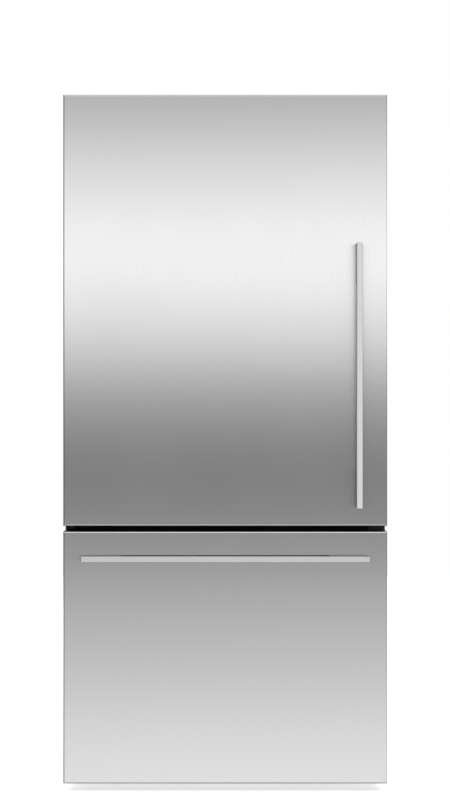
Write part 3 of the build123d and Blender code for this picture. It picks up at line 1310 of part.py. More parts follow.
def fan_shroud():
    """Upright plate with the fan's round opening and the three arms of the motor."""
    y, z = (Y_MACHINE + SHROUD_FRONT, Y_BACK - SHROUD_REAR), (Z_PAN, Z_MACHINE - SHROUD_DROP)
    at, through = (Y_MACHINE_MIDDLE, fan_height()), (X_SHROUD - BEYOND, X_SHROUD + SHROUD + BEYOND)
    plate = block((X_SHROUD, X_SHROUD + SHROUD), y, z)
    plate -= rod("x", at, MACHINE_FAN_RADIUS + FAN_TIP_CLEAR, through)
    reach, half = X_MACHINE_FAN - MOTOR_RING_GAP, ARM_WIDTH / 2
    out = MACHINE_FAN_RADIUS + ARM_CLEAR
    arm = block((reach, X_SHROUD + SHROUD / 2), (-half, half), (out, out + ARM))
    spoke = block((reach, reach + ARM), (-half, half), (MOTOR_RADIUS + MOTOR_RING / 2, out + ARM))
    arms = [Pos(0, *at) * Rot(turn, 0, 0) * (arm + spoke) for turn in (90, 210, 330)]
    collar = ring("x", at, MOTOR_RADIUS + MOTOR_RING, MOTOR_RADIUS + PIN_CLEAR, (reach, reach + ARM))
    return plate + arms + collar


def machine_fan():
    body = fan(MACHINE_FAN_RADIUS, MACHINE_HUB, MACHINE_FAN_DEPTH, MACHINE_SHAFT, MACHINE_SHAFT_LENGTH)
    return Pos(X_MACHINE_FAN, Y_MACHINE_MIDDLE, fan_height()) * Rot(0, 90, 0) * body


def machine_motor():
    at, near = (Y_MACHINE_MIDDLE, fan_height()), X_MACHINE_FAN - MACHINE_MOTOR_NEAR
    can = rod("x", at, MOTOR_RADIUS, (near - MACHINE_MOTOR_LENGTH, near))
    return can - rod("x", at, MACHINE_SHAFT + PIN_CLEAR, (near - MACHINE_MOTOR_BORE, near + BEYOND))


def drip_tray():
    """Shallow tray under the condenser that catches and dries the defrost water."""
    x = (X_CONDENSER - DRIP_SIDE, X_CONDENSER + CONDENSER_PLANES * CONDENSER_PITCH)
    y = (Y_MACHINE + DRIP_FRONT, Y_BACK - DRIP_REAR)
    return open_box(x, y, (Z_PAN, Z_PAN + DRIP_HEIGHT), TRAY_WALL, DRIP_RADIUS)


def machine_pan():
    """Floor of the machine room with turned-down sides."""
    floor = block((-X_INSIDE, X_INSIDE), (Y_MACHINE, Y_BACK - SHEET), (PAN_HEIGHT, Z_PAN))
    side = block((X_INSIDE - PAN, X_INSIDE), (Y_MACHINE, Y_BACK - SHEET), (Z_BASE, Z_PAN))
    return floor + [side, other_side(side)]


def gland_place():
    return X_INSIDE - GLAND_SIDE, Z_PAN + GLAND_RISE


def machine_cover():
    """Slotted sheet that closes the machine room at the rear."""
    through = (Y_BACK - SHEET - BEYOND, Y_BACK + BEYOND)
    sheet = block((-X_INSIDE, X_INSIDE), (Y_BACK - SHEET, Y_BACK), (Z_BASE + COVER_RISE, Z_MACHINE))
    cuts = [rod("y", gland_place(), GLAND_RADIUS, through)]
    for i in range(COVER_SLOTS):
        at = (i - (COVER_SLOTS - 1) / 2) * COVER_SLOT_PITCH
        slot_x = (at - COVER_SLOT_WIDTH / 2, at + COVER_SLOT_WIDTH / 2)
        for low in (Z_MACHINE - drop for drop in COVER_SLOT_DROPS):
            cuts.append(block(slot_x, through, (low, low + COVER_SLOT_HEIGHT)))
    return sheet - cuts


def cord_gland():
    """Bushed outlet for the mains cord."""
    inner = Y_BACK - SHEET
    flange_span = (inner - GLAND_FLANGE_THICK, inner)
    flange = ring("y", gland_place(), GLAND_RADIUS + GLAND_FLANGE, GLAND_BORE, flange_span)
    return flange + ring("y", gland_place(), GLAND_RADIUS, GLAND_BORE, (inner, Y_BACK))


def board_box():
    """Plastic box sunk in the rear insulation."""
    lid = block((-WIDTH, WIDTH), (Y_BACK - SHEET, Y_BACK + BEYOND), (0, Z_TOP))
    return board_space(LINER) - board_space(0) - lid


def board_cover():
    return board_window((Y_BACK - SHEET, Y_BACK))


def circuit_board():
    """Control board on stand-offs, with its larger components."""
    y, face = Y_BACK - BOARD_DEPTH, Y_BACK - BOARD_DEPTH + STANDOFF + BOARD_SHEET
    x, z = BOARD_WIDTH / 2 - BOARD_MARGIN, BOARD_HEIGHT / 2 - BOARD_MARGIN
    board = block((-x, x), (y + STANDOFF, face), (Z_BOARD - z, Z_BOARD + z))
    across, up = x - STANDOFF_INSET, z - STANDOFF_INSET
    corners = [(i * across, Z_BOARD + j * up) for i in (-1, 1) for j in (-1, 1)]
    posts = [rod("y", at, STANDOFF_RADIUS, (y, y + STANDOFF)) for at in corners]
    low = Z_BOARD - CHIP_DROP
    chips = [block((at, at + CHIP[0]), (face, face + CHIP[1]), (low, low + CHIP[2])) for at in CHIP_PLACES]
    span = (face, face + CAN_HEIGHT)
    cans = [rod("y", (at, Z_BOARD + CAN_RISE), CAN_RADIUS, span) for at in CAN_PLACES]
    return board + posts + chips + cans


# ---------------------------------------------------------------- feet, rollers, grille
def foot_sockets():
    """Bored bosses over the base plate for the feet's stems."""
    span = (0, STEM_TOP + STEM_ROOM)
    return [socket(s) - rod("z", (s * X_FOOT, Y_FOOT), STEM_RADIUS + PIN_CLEAR, span) for s in (-1, 1)]


def front_foot(side):
    """Levelling foot: round pad, hexagon and threaded stem."""
    at = (side * X_FOOT, Y_FOOT)
    pad = fillet(rod("z", at, FOOT_RADIUS, (0, FOOT_PAD)).edges().group_by(Axis.Z)[-1], FOOT_EDGE)
    half = NUT_HEIGHT / 2
    nut = Pos(*at, FOOT_PAD + half) * extrude(RegularPolygon(NUT_RADIUS, 6), half, both=True)
    return pad + nut + rod("z", at, STEM_RADIUS, (FOOT_PAD, STEM_TOP))


def roller_place():
    return Y_BACK - ROLLER_SETBACK, ROLLER_RADIUS


def rear_roller(side):
    half, x = ROLLER_WIDTH / 2, side * X_ROLLER
    tyre = rod("x", roller_place(), ROLLER_RADIUS, (x - half, x + half))
    tyre = fillet(tyre.edges().filter_by(GeomType.CIRCLE), ROLLER_EDGE)
    bore_span = (x - half - BEYOND, x + half + BEYOND)
    return tyre - rod("x", roller_place(), AXLE_RADIUS + AXLE_CLEAR, bore_span)


def cheek_spans(side):
    """The two upright walls of a roller bracket, across."""
    inner = ROLLER_WIDTH / 2 + SEAT
    x = side * X_ROLLER
    return [(x - inner - CHEEK, x - inner), (x + inner, x + inner + CHEEK)]


def roller_brackets():
    """Forks that hang under the machine room's floor and hold the rollers' axles."""
    pieces = []
    y, z = roller_place()
    for side in (-1, 1):
        spans = cheek_spans(side)
        across = (spans[0][0], spans[1][1])
        top = block(across, (y - BRACKET_HALF, y + BRACKET_HALF), (PAN_HEIGHT - CHEEK, PAN_HEIGHT))
        cheek_y, cheek_z = (y - CHEEK_HALF, y + CHEEK_HALF), (z - CHEEK_DROP, PAN_HEIGHT)
        cheeks = [block(span, cheek_y, cheek_z) for span in spans]
        bore = rod("x", (y, z), AXLE_RADIUS, (across[0] - BEYOND, across[1] + BEYOND))
        pieces.append(top + cheeks - bore)
    return pieces


def roller_axles():
    spans = [cheek_spans(side) for side in (-1, 1)]
    return [rod("x", roller_place(), AXLE_RADIUS, (span[0][0], span[1][1])) for span in spans]


def toe_grille():
    """Slotted strip under the cabinet, well behind the drawer front."""
    x, y = X_CABINET - GRILLE_SIDE, Y_FACE + GRILLE_SETBACK
    strip = block((-x, x), (y, y + GRILLE_THICK), (GRILLE_FLOOR_GAP, Z_BASE))
    through = (y - BEYOND, y + GRILLE_THICK + BEYOND)
    low, half = GRILLE_FLOOR_GAP + GRILLE_SLOT_RISE, GRILLE_SLOT_WIDTH / 2
    places = [(i - (GRILLE_SLOTS - 1) / 2) * GRILLE_PITCH for i in range(GRILLE_SLOTS)]
    slots = [block((at - half, at + half), through, (low, low + GRILLE_SLOT_HEIGHT)) for at in places]
    return strip - slots


# ---------------------------------------------------------------- all sub-parts by name
def cabinet_parts():
    """What stays with the cabinet."""
    return {
        "cabinet_shell": cabinet_shell(),
        "back_panel": back_panel(),
        "base_frame": [base_plate(), machine_pan(), machine_step()] + foot_sockets(),
        "cabinet_foam": cabinet_foam(),
        "fridge_liner": fridge_liner(),
        "freezer_liner": freezer_liner(),
        "mullion_rail": mullion_rail(),
        "hinge_brackets": [top_hinge(), middle_hinge()],
        "cabinet_fasteners": hinge_screws() + compressor_bolts(),
        "hinge_cover": hinge_cover(),
        "runner_fixed": runner_pair(0),
        "shelf_frames": shelf_frames(),
        "shelf_glass": [shelf_glass(level) for level in [Z_CRISPER_SHELF] + SHELF_LEVELS],
        "duct_cover": duct_cover(),
        "control_panel": control_panel(),
        "evaporator_cover": evaporator_cover(),
        "evaporator_coil": [evaporator_tubes()] + evaporator_fins(),
        "fan_motors": [evaporator_motor(), machine_motor()],
        "compressor": compressor(),
        "compressor_mounts": compressor_mounts(),
        "condenser": [condenser_coil(), discharge_pipe()] + condenser_plates(),
        "fan_shroud": fan_shroud(),
        "drip_tray": drip_tray(),
        "rear_covers": [machine_cover(), board_cover()],
        "cord_gland": cord_gland(),
        "control_board": [board_box(), circuit_board()],
        "roller_brackets": roller_brackets() + roller_axles(),
        "toe_grille": toe_grille(),
    }


def moving_cabinet_parts():
    """What moves inside the cabinet or under it."""
    parts = {
        "crisper_right": crisper(),
        "crisper_left": other_side(crisper()),
        "humidity_slider_right": humidity_slider(),
        "humidity_slider_left": other_side(humidity_slider()),
        "evaporator_fan": evaporator_fan(),
        "machine_fan": machine_fan(),
        "front_foot_right": front_foot(1),
        "front_foot_left": front_foot(-1),
        "rear_rollers": [rear_roller(1), rear_roller(-1)],
        "runner_middle": runner_pair(1),
    }
    for number, place in enumerate(button_places(), 1):
        parts[f"button_{number}"] = button(place)
    return parts


def door_parts():
    length = DOOR_HANDLE_LENGTH
    parts = {
        "door_skin": door_skin(),
        "door_end_caps": [door_top_cap(), door_bottom_cap()] + door_bushes(),
        "door_foam": door_foam(),
        "door_liner": door_liner(),
        "door_gasket": door_gasket(),
        "door_handle": on_door([handle_bar(length)] + handle_posts(length)),
        "dairy_box": dairy_box(),
        "dairy_flap": dairy_flap(),
    }
    for name in BIN_LEVELS:
        parts[f"door_bin_{name}"] = door_bin(name)
    return parts


def drawer_parts():
    z0, z1, length = FLOOR_GAP, Z_DRAWER_TOP, DRAWER_HANDLE_LENGTH
    return {
        "drawer_skin": skin(z0, z1),
        "drawer_end_caps": [cap((z1 - CAP_HEIGHT, z1)), cap((z0, z0 + CAP_HEIGHT))],
        "drawer_foam": front_foam(z0, z1, *drawer_ridge()),
        "drawer_liner": front_liner(z0, z1, *drawer_ridge()),
        "drawer_gasket": gasket(z0 + GASKET_INSET, z1 - GASKET_INSET),
        "drawer_handle": on_drawer([handle_bar(length)] + handle_posts(length)),
        "drawer_rails": drawer_frame() + runner_pair(2),
        "freezer_basket": freezer_basket(),
        "freezer_tray": freezer_tray(),
    }


def save(name, made):
    """Writes one sub-part, a solid or a group of them."""
    pieces = made if isinstance(made, list) else [made]
    solids = [solid for piece in pieces for solid in piece.solids()]
    export_step(Compound(solids), f"parts/{name}.step")


os.makedirs("parts", exist_ok=True)
for parts in (cabinet_parts(), moving_cabinet_parts(), door_parts(), drawer_parts()):
    for name, made in parts.items():
        save(name, made)
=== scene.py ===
# %% [markdown]
# A tall bottom-freezer refrigerator with brushed stainless fronts. Its solids come from
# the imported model, which is the fixed frame: every piece here is in metres in that frame.
# Most of the real object is sheet metal and moulded plastic with crisp, exact shapes, so
# the solids stay and each one gets a finish. Only the display and the lamp lens are built
# here, because their detail is too fine for the solids.

from math import cos, pi, radians, sin

import bmesh
import bpy
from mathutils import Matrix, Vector


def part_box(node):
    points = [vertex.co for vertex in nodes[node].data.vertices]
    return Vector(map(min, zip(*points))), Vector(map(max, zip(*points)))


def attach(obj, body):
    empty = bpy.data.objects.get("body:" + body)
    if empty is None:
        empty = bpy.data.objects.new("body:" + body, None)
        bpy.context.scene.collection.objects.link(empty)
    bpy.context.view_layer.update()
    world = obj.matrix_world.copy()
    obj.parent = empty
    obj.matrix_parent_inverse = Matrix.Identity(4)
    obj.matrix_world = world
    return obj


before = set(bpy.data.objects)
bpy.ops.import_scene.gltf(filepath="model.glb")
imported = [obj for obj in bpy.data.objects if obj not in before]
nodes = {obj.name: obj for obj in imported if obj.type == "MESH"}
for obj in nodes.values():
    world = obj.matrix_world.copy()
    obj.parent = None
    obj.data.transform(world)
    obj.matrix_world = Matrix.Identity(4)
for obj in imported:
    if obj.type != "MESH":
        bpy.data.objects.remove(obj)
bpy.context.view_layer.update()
MM = 0.001

# %% [markdown]
# Colours are written as sRGB hex values, the way a paint chart gives them. The renderer
# counts in linear light, so one function turns a hex value into linear numbers, and no
# other colour numbers are typed in by hand.

# %% Colour helper


def linear(hex_value):
    """An sRGB hex colour as linear red, green, blue and alpha."""
    parts = [int(hex_value[i : i + 2], 16) / 255 for i in (1, 3, 5)]
    return [p / 12.92 if p <= 0.04045 else ((p + 0.055) / 1.055) ** 2.4 for p in parts] + [1.0]


print("mid grey in linear light:", round(linear("#808080")[0], 3))

# %% [markdown]
# A finish is a small graph of nodes. One helper adds a node, sets its properties, and then
# fills each input with either a plain value or another node's output. Long graphs stay
# readable this way, because each line says what a node is fed with. Two more helpers open
# and end a material, so that a finish below holds only what is special to it.

# %% Node helpers


def add(tree, kind, inputs=None, **properties):
    """Adds one shader node; an input given as a socket is linked, any other is set."""
    node = tree.nodes.new("ShaderNode" + kind)
    for name, value in properties.items():
        setattr(node, name, value)
    for name, value in (inputs or {}).items():
        if isinstance(value, bpy.types.NodeSocket):
            tree.links.new(value, node.inputs[name])
        else:
            node.inputs[name].default_value = value
    return node


def start(name):
    """An empty material and its tree, with the position on the piece in metres."""
    material = bpy.data.materials.new(name)
    material.use_nodes = True
    tree = material.node_tree
    tree.nodes.clear()
    where = add(tree, "TexCoord").outputs["Object"]
    return material, tree, where


def close(tree, shader):
    """Joins the shader to the material's output."""
    add(tree, "OutputMaterial", {"Surface": shader.outputs[0]})


print("node helpers:", add.__name__, start.__name__, close.__name__)

# %% [markdown]
# Real surfaces vary a little: paint pools, plastic dulls, steel is handled. A pattern of
# noise stands for that. Its scale comes from the real size of the marks in millimetres,
# stretched along an axis where the real marks run one way, as brushing does. The pattern
# then shifts the colour and the gloss by small amounts. Noise seldom leaves the range from
# 0.3 to 0.7, so that range is spread over the whole shift.

# %% Pattern helpers
NOISE_RANGE = {"From Min": 0.3, "From Max": 0.7}


def marks(tree, where, size_mm, stretch=(1, 1, 1), detail=3.0, roughness=0.55):
    """Noise whose marks are size_mm across, and stretch times as long along each axis."""
    placed = add(tree, "Mapping", {"Vector": where, "Scale": [1 / s for s in stretch]})
    inputs = {"Vector": placed.outputs[0], "Scale": 1 / (size_mm * MM), "Detail": detail}
    return add(tree, "TexNoise", {**inputs, "Roughness": roughness}).outputs["Fac"]


def shades(tree, pattern, light_hex, dark_hex):
    """A colour that the pattern moves between two hex values."""
    factor = add(tree, "MapRange", {"Value": pattern, **NOISE_RANGE}).outputs[0]
    inputs = {0: factor, 6: linear(light_hex), 7: linear(dark_hex)}
    return add(tree, "Mix", inputs, data_type="RGBA").outputs[2]


def gloss(tree, roughness, *swings):
    """A roughness that each pattern moves up and down, from pairs of pattern and swing."""
    for pattern, swing in swings:
        inputs = {"Value": pattern, **NOISE_RANGE, "To Min": -swing, "To Max": swing}
        moved = add(tree, "MapRange", inputs).outputs[0]
        roughness = add(tree, "Math", {0: roughness, 1: moved}, operation="ADD").outputs[0]
    return roughness


print("patterns use noise between", *NOISE_RANGE.values())

# %% [markdown]
# Brushed stainless steel: cold-rolled sheet that an abrasive belt has scratched one way.
# Each scratch is a tiny trough, so the sheet mirrors sharply along the scratches and
# blurs widely across them: a lamp becomes a wide, soft band. The shader's anisotropy does
# that, with its tangent laid across the scratches. Real scratches are about 0.05 mm wide,
# too fine to show here, so faint streaks of about 1.5 mm stand for them. Height comes only
# from broad, shallow clouds, as sheet is never quite flat.
#
# The bars are satin, with far more blur. Their backs and their end posts, which lie behind a
# given depth, are painted darker as painted shade, and the mirror image of that painted shade
# draws a dark line beside the bar.

# %% Brushed stainless steel
bar_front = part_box("door_handle")[0][1]
BACK_FROM = bar_front + 16.4 * MM
BACK_FULL = bar_front + 17.2 * MM
# for each way that scratches run: the streaks' stretch, and an axis a touch off that way
GRAINS = {"x": ((90, 1, 1), (1, 0.01, 0.02)), "z": ((1, 1, 90), (0.02, 0.01, 1))}


def brushed_steel(name, grain, roughness, anisotropy, light_hex, dark_hex, painted_shade_back=False):
    """Brushed steel; grain is the axis that the scratches run along, x or z."""
    material, tree, where = start(name)
    stretch, axis = GRAINS[grain]
    streaks = marks(tree, where, 1.5, stretch, detail=4.0, roughness=0.7)
    clouds = marks(tree, where, 160, (1, 1, 2), detail=2.0)
    normal = add(tree, "NewGeometry").outputs["Normal"]
    across = add(tree, "VectorMath", {0: normal, 1: axis}, operation="CROSS_PRODUCT")
    colour = shades(tree, streaks, light_hex, dark_hex)
    # painted shade: behind a given depth the bar's back and end posts take a darker colour
    if painted_shade_back:
        depth = add(tree, "SeparateXYZ", {0: where}).outputs[1]
        inputs = {"Value": depth, "From Min": BACK_FROM, "From Max": BACK_FULL}
        behind = add(tree, "MapRange", inputs).outputs[0]
        inputs = {0: behind, 6: colour, 7: shades(tree, clouds, "#4A4A4B", "#404041")}
        colour = add(tree, "Mix", inputs, data_type="RGBA").outputs[2]
    inputs = {
        "Base Color": colour,
        "Metallic": 1.0,
        "Roughness": gloss(tree, roughness, (streaks, 0.005), (clouds, 0.006)),
        "Anisotropic": anisotropy,
        "Tangent": across.outputs[0],
        "Normal": add(tree, "Bump", {"Height": clouds, "Distance": 0.02 * MM}).outputs[0],
    }
    close(tree, add(tree, "BsdfPrincipled", inputs))
    return material


front_steel = brushed_steel("brushed_stainless_sheet", "z", 0.18, 1.0, "#DADADA", "#D7D7D7")
# painted light and shade: both bars are one satin steel, but the upright one is painted lighter
# and the level one darker
upright_bar_painted_lighter = brushed_steel(
    "satin_stainless_bar_upright_painted_lighter", "z", 0.42, 0.2, "#E9E9E9", "#E4E4E4", painted_shade_back=True
)
level_bar_painted_darker = brushed_steel(
    "satin_stainless_bar_level_painted_darker", "x", 0.42, 0.2, "#D6D6D6", "#D1D1D1", painted_shade_back=True
)
print("steels:", front_steel.name, upright_bar_painted_lighter.name, level_bar_painted_darker.name)

# %% [markdown]
# Pre-painted steel for the cabinet: a baked polyester coat, rolled with a fine leather-like
# grain of about 1.5 mm that hides fingerprints. Soft-edged cells make the grain. The front
# flange of the shell, which the gaskets close on, is painted black in front of a given depth
# as painted shade, so that the gap between the door and the drawer is dark from edge to edge.
#
# The hinge brackets and the rail have a plain black coat, nearly smooth, that shines very
# little. The compressor and the condenser have a glossy baking enamel with the slow ripple
# that painters call orange peel.

# %% Painted steel
FLANGE_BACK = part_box("cabinet_shell")[0][1] + 1.2 * MM
FLANGE_EDGE = 0.2 * MM
GREY_COAT = ("#515355", "#4D4F51")
BLACK_COAT = ("#0B0B0C", "#080809")


def painted_steel(name, coat, roughness, cell_mm, depth_mm, shine=0.5, painted_shade_flange=False):
    """Baked paint on steel, with an embossed or orange-peel grain."""
    material, tree, where = start(name)
    inputs = {"Vector": where, "Scale": 1 / (cell_mm * MM)}
    cells = add(tree, "TexVoronoi", inputs, feature="SMOOTH_F1").outputs["Distance"]
    haze = marks(tree, where, 120)
    colour = shades(tree, haze, *coat)
    # painted shade: the front of the flange is black where the gap between the fronts lies in
    # shade
    if painted_shade_flange:
        depth = add(tree, "SeparateXYZ", {0: where}).outputs[1]
        inputs = {"Value": depth, "From Min": FLANGE_BACK - FLANGE_EDGE, "From Max": FLANGE_BACK}
        behind = add(tree, "MapRange", inputs).outputs[0]
        inputs = {0: behind, 6: shades(tree, haze, *BLACK_COAT), 7: colour}
        colour = add(tree, "Mix", inputs, data_type="RGBA").outputs[2]
    inputs = {
        "Base Color": colour,
        "Roughness": gloss(tree, roughness, (haze, 0.04)),
        "IOR": 1.5,
        "Specular IOR Level": shine,
        "Normal": add(tree, "Bump", {"Height": cells, "Distance": depth_mm * MM}).outputs[0],
    }
    close(tree, add(tree, "BsdfPrincipled", inputs))
    return material


cabinet_paint = painted_steel("embossed_grey_paint", GREY_COAT, 0.42, 1.6, 0.12)
shell_paint = painted_steel(
    "embossed_grey_paint_with_painted_shade_flange", GREY_COAT, 0.42, 1.6, 0.12, painted_shade_flange=True
)
black_paint = painted_steel("satin_black_paint", BLACK_COAT, 0.6, 0.9, 0.03, shine=0.2)
enamel = painted_steel("black_baking_enamel", ("#17181A", "#0E0F10"), 0.24, 3.0, 0.05)
print("paints:", cabinet_paint.name, shell_paint.name, black_paint.name, enamel.name)

# %% [markdown]
# Hot-dip galvanised steel shows spangle, flat zinc crystals of 5 to 15 mm that each catch
# the light differently. A cell pattern draws them: each cell has one random tone, and that
# tone sets both its shade and its gloss, so no two neighbours look the same.

# %% Galvanised steel
CRYSTAL = 9 * MM
galvanised, tree, where = start("galvanised_sheet")
crystals = add(tree, "TexVoronoi", {"Vector": where, "Scale": 1 / CRYSTAL})
tone = add(tree, "SeparateColor", {"Color": crystals.outputs["Color"]}).outputs[0]
crystal_mix = {0: tone, 6: linear("#C2C6C9"), 7: linear("#AEB3B7")}
crystal_gloss = {"Value": tone, "To Min": 0.36, "To Max": 0.5}
haze = marks(tree, where, 70)
inputs = {
    "Base Color": add(tree, "Mix", crystal_mix, data_type="RGBA").outputs[2],
    "Metallic": 1.0,
    "Roughness": add(tree, "MapRange", crystal_gloss).outputs[0],
    "Normal": add(tree, "Bump", {"Height": haze, "Distance": 0.02 * MM}).outputs[0],
}
close(tree, add(tree, "BsdfPrincipled", inputs))
print("spangled metal:", galvanised.name)

# %% [markdown]
# Bright zinc plating on screws, slides and brackets and the mill aluminium of the cooling
# fins have no spangle. They show only faint rolling lines, longer one way, and the haze
# that handling leaves.

# %% Plated steel and aluminium


def rolled_metal(name, light_hex, dark_hex, roughness, line_mm, stretch):
    """Plain plated or rolled metal with faint lines and haze."""
    material, tree, where = start(name)
    lines = marks(tree, where, line_mm, stretch)
    haze = marks(tree, where, 30)
    inputs = {
        "Base Color": shades(tree, haze, light_hex, dark_hex),
        "Metallic": 1.0,
        "Roughness": gloss(tree, roughness, (lines, 0.05)),
        "Normal": add(tree, "Bump", {"Height": lines, "Distance": 0.006 * MM}).outputs[0],
    }
    close(tree, add(tree, "BsdfPrincipled", inputs))
    return material


plated = rolled_metal("bright_zinc_plate", "#C9CBC8", "#B4B9BC", 0.3, 0.8, (1, 12, 1))
aluminium = rolled_metal("mill_aluminium", "#D6D8DA", "#C6C9CC", 0.34, 0.6, (20, 1, 1))
print("bare metals:", plated.name, aluminium.name)

# %% [markdown]
# Moulded plastics. High-impact polystyrene liners are vacuum formed and nearly glossy,
# with a slight waviness of about 14 mm. Injection-moulded ABS and polypropylene take the
# fine spark texture of their tool, about half a millimetre. All are dielectrics with an IOR
# from 1.49 to 1.59. A wide mottle shifts the colour and the gloss only a little, because a
# clean white wall shows every spot.

# %% Moulded plastics


def moulded_plastic(name, light_hex, dark_hex, roughness, grain_mm, depth_mm, ior=1.54):
    """Opaque moulded plastic with tool texture and slight mottling."""
    material, tree, where = start(name)
    grain = marks(tree, where, grain_mm, detail=2.0)
    mottle = marks(tree, where, 90)
    inputs = {
        "Base Color": shades(tree, mottle, light_hex, dark_hex),
        "Roughness": gloss(tree, roughness, (mottle, 0.02)),
        "IOR": ior,
        "Normal": add(tree, "Bump", {"Height": grain, "Distance": depth_mm * MM}).outputs[0],
    }
    close(tree, add(tree, "BsdfPrincipled", inputs))
    return material


liner = moulded_plastic("white_hips_liner", "#F1F2F2", "#ECEEEE", 0.32, 14, 0.015, 1.59)
white_part = moulded_plastic("white_polypropylene", "#E9EBEA", "#E1E4E3", 0.36, 0.6, 0.02, 1.49)
trim = moulded_plastic("pale_grey_abs_trim", "#E3E5E6", "#DADDDE", 0.34, 0.6, 0.02)
cap_part = moulded_plastic("black_abs_end_cap", "#1A1B1C", "#131415", 0.5, 0.6, 0.02)
button_part = moulded_plastic("grey_abs_button", "#B9BCBE", "#B0B3B5", 0.32, 0.5, 0.015)
dark_part = moulded_plastic("black_glass_filled_nylon", "#232426", "#1A1B1C", 0.48, 0.8, 0.04)
smoke = moulded_plastic("smoked_acrylic", "#15171A", "#101214", 0.1, 20, 0.01, 1.49)
print("plastics:", liner.name, white_part.name, trim.name, cap_part.name, dark_part.name)

# %% [markdown]
# Seals and mounts. The door gaskets are extruded soft PVC, matt grey with faint marks of
# the die and a magnet strip inside. Rubber mounts and rollers are carbon-black nitrile
# rubber, darker and duller. On both a dusty bloom shifts the shade and the gloss.

# %% Soft PVC and rubber


def soft_rubber(name, light_hex, dark_hex, roughness, mark_mm, depth_mm):
    """Matt elastomer with bloom on it."""
    material, tree, where = start(name)
    grain = marks(tree, where, mark_mm, detail=2.0)
    bloom = marks(tree, where, 25)
    inputs = {
        "Base Color": shades(tree, bloom, light_hex, dark_hex),
        "Roughness": gloss(tree, roughness, (bloom, 0.06)),
        "IOR": 1.52,
        "Specular IOR Level": 0.35,
        "Normal": add(tree, "Bump", {"Height": grain, "Distance": depth_mm * MM}).outputs[0],
    }
    close(tree, add(tree, "BsdfPrincipled", inputs))
    return material


seal = soft_rubber("soft_pvc_seal", "#8F9193", "#85878A", 0.58, 0.9, 0.03)
rubber = soft_rubber("nitrile_rubber", "#26272A", "#1C1C1D", 0.72, 0.7, 0.04)
print("elastomers:", seal.name, rubber.name)

# %% [markdown]
# Clear pieces. Shelves are tempered float glass, whose iron tints it green as light
# passes a longer way through it, so the tint is strongest at the cut edges. Bins are
# general-purpose polystyrene: clear, a little blue, with an IOR of 1.59 and a slight haze
# from the mould.
#
# A refracting shader alone would throw a full shadow, and the inside would be dark behind
# each shelf. So shadow rays and diffuse rays meet a tinted, plainly transparent surface,
# and only what the eye or a mirror sees is refracted.

# %% Float glass and clear polystyrene


def clear_piece(name, hex_value, ior, roughness, wave_mm, depth_mm):
    """A see-through piece with faint haze and waves, which lets light pass to what is behind."""
    material, tree, where = start(name)
    waves = marks(tree, where, wave_mm, detail=2.0)
    haze = marks(tree, where, 60)
    colour = shades(tree, haze, hex_value, "#FFFFFF")
    inputs = {
        "Base Color": colour,
        "Roughness": gloss(tree, roughness + 0.02, (haze, 0.02)),
        "IOR": ior,
        "Transmission Weight": 1.0,
        "Normal": add(tree, "Bump", {"Height": waves, "Distance": depth_mm * MM}).outputs[0],
    }
    solid = add(tree, "BsdfPrincipled", inputs).outputs[0]
    through = add(tree, "BsdfTransparent", {"Color": colour}).outputs[0]
    rays = add(tree, "LightPath").outputs
    inputs = {0: rays["Is Shadow Ray"], 1: rays["Is Diffuse Ray"]}
    lighting = add(tree, "Math", inputs, operation="MAXIMUM").outputs[0]
    close(tree, add(tree, "MixShader", {0: lighting, 1: solid, 2: through}))
    return material


glass = clear_piece("tempered_float_glass", "#EFF6F2", 1.52, 0.0, 40, 0.01)
bin_plastic = clear_piece("clear_polystyrene", "#F2F6F8", 1.59, 0.03, 18, 0.02)
print("clear pieces:", glass.name, bin_plastic.name)

# %% [markdown]
# Rigid polyurethane foam fills the walls. It rises and sets in place as a cream mass of
# tiny cells. It is hidden, but a cut or an open view would show it, so it has its cells of
# about 1.2 mm and its amber skin.

# %% Polyurethane foam
FOAM_CELL = 1.2 * MM
foam, tree, where = start("rigid_polyurethane_foam")
cells = add(tree, "TexVoronoi", {"Vector": where, "Scale": 1 / FOAM_CELL}).outputs["Distance"]
skin = marks(tree, where, 50)
inputs = {
    "Base Color": shades(tree, skin, "#E9D9A6", "#DCC583"),
    "Roughness": gloss(tree, 0.84, (skin, 0.06)),
    "Normal": add(tree, "Bump", {"Height": cells, "Distance": 0.3 * MM}).outputs[0],
}
close(tree, add(tree, "BsdfPrincipled", inputs))
print("foam:", foam.name)

# %% [markdown]
# Each solid now takes the finish of the real piece it stands for. The list names the
# finish first and the pieces under it, so it also reads as the object's bill of materials.

# %% Give each solid its finish
finishes = [
    (front_steel, "door_skin drawer_skin"),
    (upright_bar_painted_lighter, "door_handle"),
    (level_bar_painted_darker, "drawer_handle"),
    (shell_paint, "cabinet_shell"),
    (cabinet_paint, "hinge_cover"),
    (galvanised, "back_panel base_frame rear_covers"),
    (foam, "cabinet_foam door_foam drawer_foam"),
    (liner, "fridge_liner freezer_liner door_liner drawer_liner"),
    (liner, "duct_cover evaporator_cover control_panel"),
    (black_paint, "mullion_rail fan_motors hinge_brackets"),
    (plated, "cabinet_fasteners runner_fixed runner_middle drawer_rails roller_brackets"),
    (trim, "shelf_frames"),
    (glass, "shelf_glass"),
    (aluminium, "evaporator_coil"),
    (enamel, "compressor condenser"),
    (rubber, "compressor_mounts cord_gland rear_rollers"),
    (dark_part, "fan_shroud drip_tray toe_grille evaporator_fan machine_fan"),
    (dark_part, "front_foot_right front_foot_left control_board"),
    (bin_plastic, "crisper_right crisper_left dairy_flap"),
    (bin_plastic, "door_bin_bottom door_bin_lower door_bin_upper"),
    (white_part, "dairy_box freezer_basket freezer_tray"),
    (white_part, "humidity_slider_right humidity_slider_left"),
    (button_part, "button_1 button_2"),
    (cap_part, "door_end_caps drawer_end_caps"),
    (seal, "door_gasket drawer_gasket"),
]
dressed = set()
